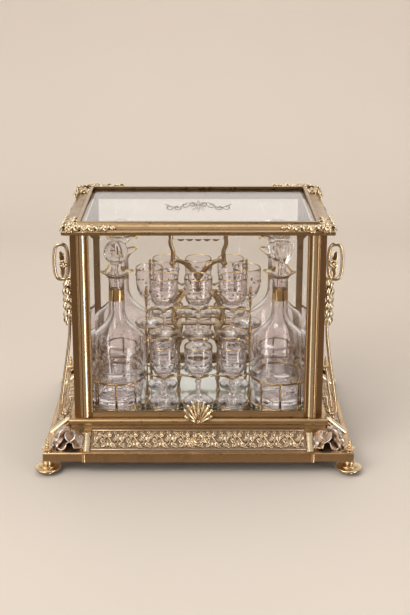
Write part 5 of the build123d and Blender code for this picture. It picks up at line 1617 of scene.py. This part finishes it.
def room_colour(tree):
    """The room round the object: a pale wall behind it, and a dark room with bright windows before it."""
    way = add(tree, "ShaderNodeTexCoord").outputs["Generated"]

    def along(axis, low, high):
        """Rises from 0 to 1 as the way looked turns towards an axis."""
        dot = add(tree, "ShaderNodeVectorMath", [(0, way), (1, axis)], operation="DOT_PRODUCT")
        span = add(tree, "ShaderNodeMapRange", [("Value", dot.outputs["Value"]), ("From Min", low),
                                                ("From Max", high)], interpolation_type="SMOOTHSTEP")
        return span.outputs["Result"]

    def strip(ahead, half):
        """An upright strip of light, seen ahead and half as wide to each side."""
        across = (-ahead[1], ahead[0], 0.0)
        other = tuple(-c for c in across)
        sides = times(tree, along(across, -half - 0.05, -half + 0.02), along(other, -half - 0.05, -half + 0.02))
        ends = times(tree, along((0, 0, 1), -0.65, -0.55), along((0, 0, -1), -0.35, -0.2))
        return times(tree, times(tree, sides, along(ahead, 0.2, 0.5)), ends)

    dark_room, wall = (0.10, 0.07, 0.05, 1), (0.72, 0.66, 0.60, 1)
    lit_wall = times(tree, along((0, 0, 1), 0.04, 0.16), along((0, 1, 0), 0.55, 0.80))
    colour = blend(tree, along((0, 1, 0.25), -0.15, 0.35), dark_room, wall)
    for part, shade in ((lit_wall, (1.12, 1.07, 1.02, 1)),
                        (along((0, 0, 1), 0.45, 0.95), (0.60, 0.57, 0.52, 1)),
                        (along((0, 0, -1), 0.02, 0.30), (0.33, 0.245, 0.18, 1)),
                        (along((-0.62, -0.60, 0.50), 0.80, 0.95), (1.9, 1.78, 1.6, 1)),
                        (strip((0.74, -0.67, 0.0), 0.11), (6.5, 6.3, 6.0, 1)),
                        (strip((-0.82, -0.57, 0.0), 0.16), (1.5, 1.42, 1.30, 1))):
        colour = blend(tree, part, colour, shade)
    return colour


def set_world(wall):
    """A plain wall for the camera and for what is seen straight through glass, and the room for reflections."""
    world = bpy.data.worlds.new("world")
    bpy.context.scene.world = world
    world.use_nodes = True
    tree = world.node_tree
    tree.nodes.clear()
    light = add(tree, "ShaderNodeLightPath")
    unturned = add(tree, "ShaderNodeMath", [(0, light.outputs["Glossy Depth"]), (1, 0.5)],
                   operation="LESS_THAN")
    through = times(tree, light.outputs["Is Transmission Ray"], unturned.outputs[0])
    seen = add(tree, "ShaderNodeMath", [(0, light.outputs["Is Camera Ray"]), (1, through)], operation="MAXIMUM")
    room = add(tree, "ShaderNodeBackground", [("Color", room_colour(tree)), ("Strength", 1.0)])
    plain = add(tree, "ShaderNodeBackground", [("Color", (*wall, 1)), ("Strength", 1.0)])
    mix = add(tree, "ShaderNodeMixShader", [(0, seen.outputs[0]), (1, room.outputs[0]), (2, plain.outputs[0])])
    out = add(tree, "ShaderNodeOutputWorld")
    tree.links.new(mix.outputs[0], out.inputs["Surface"])


def set_camera(stage):
    """The camera, level across and tilted down, with its lens shifted."""
    camera = bpy.data.cameras.new("camera")
    camera.lens, camera.sensor_width, camera.sensor_fit = stage.lens, 36.0, "AUTO"
    camera.shift_x, camera.shift_y = stage.shift_x, stage.shift_y
    camera.clip_start, camera.clip_end = 0.05, 50
    eye = linked("camera", camera)
    eye.location = (0, -stage.camera_y, stage.camera_z)
    eye.rotation_euler = (math.pi / 2 - stage.pitch, 0, 0)
    bpy.context.scene.camera = eye


def set_stage():
    """Camera, floor, lamps, world and view."""
    scene = bpy.context.scene
    stage = scene.tantalus_stage
    set_camera(stage)
    sweep = sweep_piece(tuple(stage.floor))
    sweep.visible_glossy = False
    lights = [area_light(*lamp) for lamp in (
        ("key", (-0.9, -1.1, 1.5), (0, 0, 0.15), (0.9, 0.7), 11, (1.0, 0.96, 0.90)),
        ("fill", (1.3, -0.9, 0.7), (0, 0, 0.15), (0.8, 1.0), 4, (1.0, 0.97, 0.94)),
        ("top", (0.1, 0.25, 1.5), (0, 0, 0.1), (1.2, 0.8), 5, (1.0, 0.98, 0.95)))]
    set_world(tuple(stage.wall))
    scene.view_settings.view_transform = "Standard"
    for limit, count in (("max_bounces", 24), ("transmission_bounces", 20), ("transparent_max_bounces", 24),
                         ("glossy_bounces", 8)):
        setattr(scene.cycles, limit, count)
    scene.cycles.caustics_reflective = scene.cycles.caustics_refractive = False


# ---------------------------------------------------------------- operators and panel

class TANTALUS_OT_finishes(bpy.types.Operator):
    """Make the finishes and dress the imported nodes"""
    bl_idname = "tantalus.finishes"
    bl_label = "Finishes"
    bl_options = {"REGISTER", "UNDO"}

    def execute(self, context):
        build_materials()
        dress_carried()
        return {"FINISHED"}


class TANTALUS_OT_feet(bpy.types.Operator):
    """Turn the feet"""
    bl_idname = "tantalus.feet"
    bl_label = "Feet"
    bl_options = {"REGISTER", "UNDO"}

    def execute(self, context):
        foot_piece()
        return {"FINISHED"}


class TANTALUS_OT_finials(bpy.types.Operator):
    """Turn the corner finials"""
    bl_idname = "tantalus.finials"
    bl_label = "Finials"
    bl_options = {"REGISTER", "UNDO"}

    def execute(self, context):
        finial_piece()
        return {"FINISHED"}


class TANTALUS_OT_leaves(bpy.types.Operator):
    """Cast the leaves over the plinth's corners"""
    bl_idname = "tantalus.leaves"
    bl_label = "Corner leaves"
    bl_options = {"REGISTER", "UNDO"}

    def execute(self, context):
        corner_leaf_piece()
        return {"FINISHED"}


class TANTALUS_OT_frieze(bpy.types.Operator):
    """Lay the leaf scrolls along the friezes"""
    bl_idname = "tantalus.frieze"
    bl_label = "Frieze"
    bl_options = {"REGISTER", "UNDO"}

    def execute(self, context):
        frieze_piece()
        return {"FINISHED"}


class TANTALUS_OT_lock_wreath(bpy.types.Operator):
    """Lay the wreath round the keyhole"""
    bl_idname = "tantalus.lock_wreath"
    bl_label = "Lock wreath"
    bl_options = {"REGISTER", "UNDO"}

    def execute(self, context):
        lock_plate_piece()
        return {"FINISHED"}


class TANTALUS_OT_side_scrolls(bpy.types.Operator):
    """Form the looped brackets beside the posts"""
    bl_idname = "tantalus.side_scrolls"
    bl_label = "Side scrolls"
    bl_options = {"REGISTER", "UNDO"}

    def execute(self, context):
        side_scroll_piece()
        return {"FINISHED"}


class TANTALUS_OT_lid_mounts(bpy.types.Operator):
    """Cast the mounts over the lid's corners"""
    bl_idname = "tantalus.lid_mounts"
    bl_label = "Lid mounts"
    bl_options = {"REGISTER", "UNDO"}

    def execute(self, context):
        lid_mount_piece()
        return {"FINISHED"}


class TANTALUS_OT_pull(bpy.types.Operator):
    """Cast the palmette that lifts the cover"""
    bl_idname = "tantalus.pull"
    bl_label = "Pull"
    bl_options = {"REGISTER", "UNDO"}

    def execute(self, context):
        palmette_piece()
        return {"FINISHED"}


class TANTALUS_OT_stile_beads(bpy.types.Operator):
    """Lay the half-round bars down the front stiles"""
    bl_idname = "tantalus.stile_beads"
    bl_label = "Stile beads"
    bl_options = {"REGISTER", "UNDO"}

    def execute(self, context):
        stile_bead_piece()
        return {"FINISHED"}


class TANTALUS_OT_engraving(bpy.types.Operator):
    """Cut the cartouche under the lid's glass"""
    bl_idname = "tantalus.engraving"
    bl_label = "Engraving"
    bl_options = {"REGISTER", "UNDO"}

    def execute(self, context):
        lid_engraving_piece()
        return {"FINISHED"}


class TANTALUS_OT_rack_legs(bpy.types.Operator):
    """Turn the rack's balusters and bend its lyre legs"""
    bl_idname = "tantalus.rack_legs"
    bl_label = "Rack legs"
    bl_options = {"REGISTER", "UNDO"}

    def execute(self, context):
        lyre_legs_piece()
        return {"FINISHED"}


class TANTALUS_OT_galleries(bpy.types.Operator):
    """Bend the scalloped rails in front of the glasses"""
    bl_idname = "tantalus.galleries"
    bl_label = "Galleries"
    bl_options = {"REGISTER", "UNDO"}

    def execute(self, context):
        gallery_piece()
        return {"FINISHED"}


class TANTALUS_OT_cradles(bpy.types.Operator):
    """Form the wire cradles round the decanters"""
    bl_idname = "tantalus.cradles"
    bl_label = "Cradles"
    bl_options = {"REGISTER", "UNDO"}

    def execute(self, context):
        cradle_piece()
        return {"FINISHED"}


class TANTALUS_OT_handle(bpy.types.Operator):
    """Form the rack's handle"""
    bl_idname = "tantalus.handle"
    bl_label = "Handle"
    bl_options = {"REGISTER", "UNDO"}

    def execute(self, context):
        handle_piece()
        return {"FINISHED"}


class TANTALUS_OT_rack_edges(bpy.types.Operator):
    """Lay the gilt wires round the shelf and the tray"""
    bl_idname = "tantalus.rack_edges"
    bl_label = "Rack edges"
    bl_options = {"REGISTER", "UNDO"}

    def execute(self, context):
        shelf_edge_piece()
        tray_edge_piece()
        return {"FINISHED"}


class TANTALUS_OT_glassware(bpy.types.Operator):
    """Blow the glasses, decanters and stoppers"""
    bl_idname = "tantalus.glassware"
    bl_label = "Glassware"
    bl_options = {"REGISTER", "UNDO"}

    def execute(self, context):
        glassware()
        return {"FINISHED"}


class TANTALUS_OT_stage(bpy.types.Operator):
    """Set the camera, floor and lights"""
    bl_idname = "tantalus.stage"
    bl_label = "Stage"
    bl_options = {"REGISTER", "UNDO"}

    def execute(self, context):
        set_stage()
        return {"FINISHED"}


OPERATORS = (
    TANTALUS_OT_finishes, TANTALUS_OT_feet, TANTALUS_OT_finials, TANTALUS_OT_leaves,
    TANTALUS_OT_frieze, TANTALUS_OT_lock_wreath, TANTALUS_OT_side_scrolls, TANTALUS_OT_lid_mounts,
    TANTALUS_OT_pull, TANTALUS_OT_stile_beads, TANTALUS_OT_engraving, TANTALUS_OT_rack_legs,
    TANTALUS_OT_galleries, TANTALUS_OT_cradles, TANTALUS_OT_handle, TANTALUS_OT_rack_edges,
    TANTALUS_OT_glassware, TANTALUS_OT_stage,
)


class TANTALUS_PT_panel(bpy.types.Panel):
    """Buttons and settings of the tantalus."""
    bl_label = "Tantalus"
    bl_idname = "TANTALUS_PT_panel"
    bl_space_type = "VIEW_3D"
    bl_region_type = "UI"
    bl_category = "Tantalus"

    def draw(self, context):
        for cls in OPERATORS:
            self.layout.operator(cls.bl_idname, text=cls.bl_label)
        scene = context.scene
        for owner in (scene.tantalus_finishes, scene.tantalus_stage, scene.tantalus_sizes):
            box = self.layout.box()
            for key in owner.bl_rna.properties.keys():
                if key not in ("rna_type", "name"):
                    box.prop(owner, key)


CLASSES = (TantalusFinishes, TantalusStage, TantalusSizes, *OPERATORS, TANTALUS_PT_panel)


def register():
    """Registers the classes and hangs the settings on the scene."""
    for cls in CLASSES:
        bpy.utils.register_class(cls)
    bpy.types.Scene.tantalus_finishes = PointerProperty(type=TantalusFinishes)
    bpy.types.Scene.tantalus_stage = PointerProperty(type=TantalusStage)
    bpy.types.Scene.tantalus_sizes = PointerProperty(type=TantalusSizes)


def unregister():
    """Takes the settings and the classes away again."""
    del bpy.types.Scene.tantalus_sizes
    del bpy.types.Scene.tantalus_stage
    del bpy.types.Scene.tantalus_finishes
    for cls in reversed(CLASSES):
        bpy.utils.unregister_class(cls)


def main():
    """Runs every operator in order."""
    register()
    for cls in OPERATORS:
        getattr(bpy.ops.tantalus, cls.bl_idname.split(".")[1])()


if __name__ == "__main__":
    main()
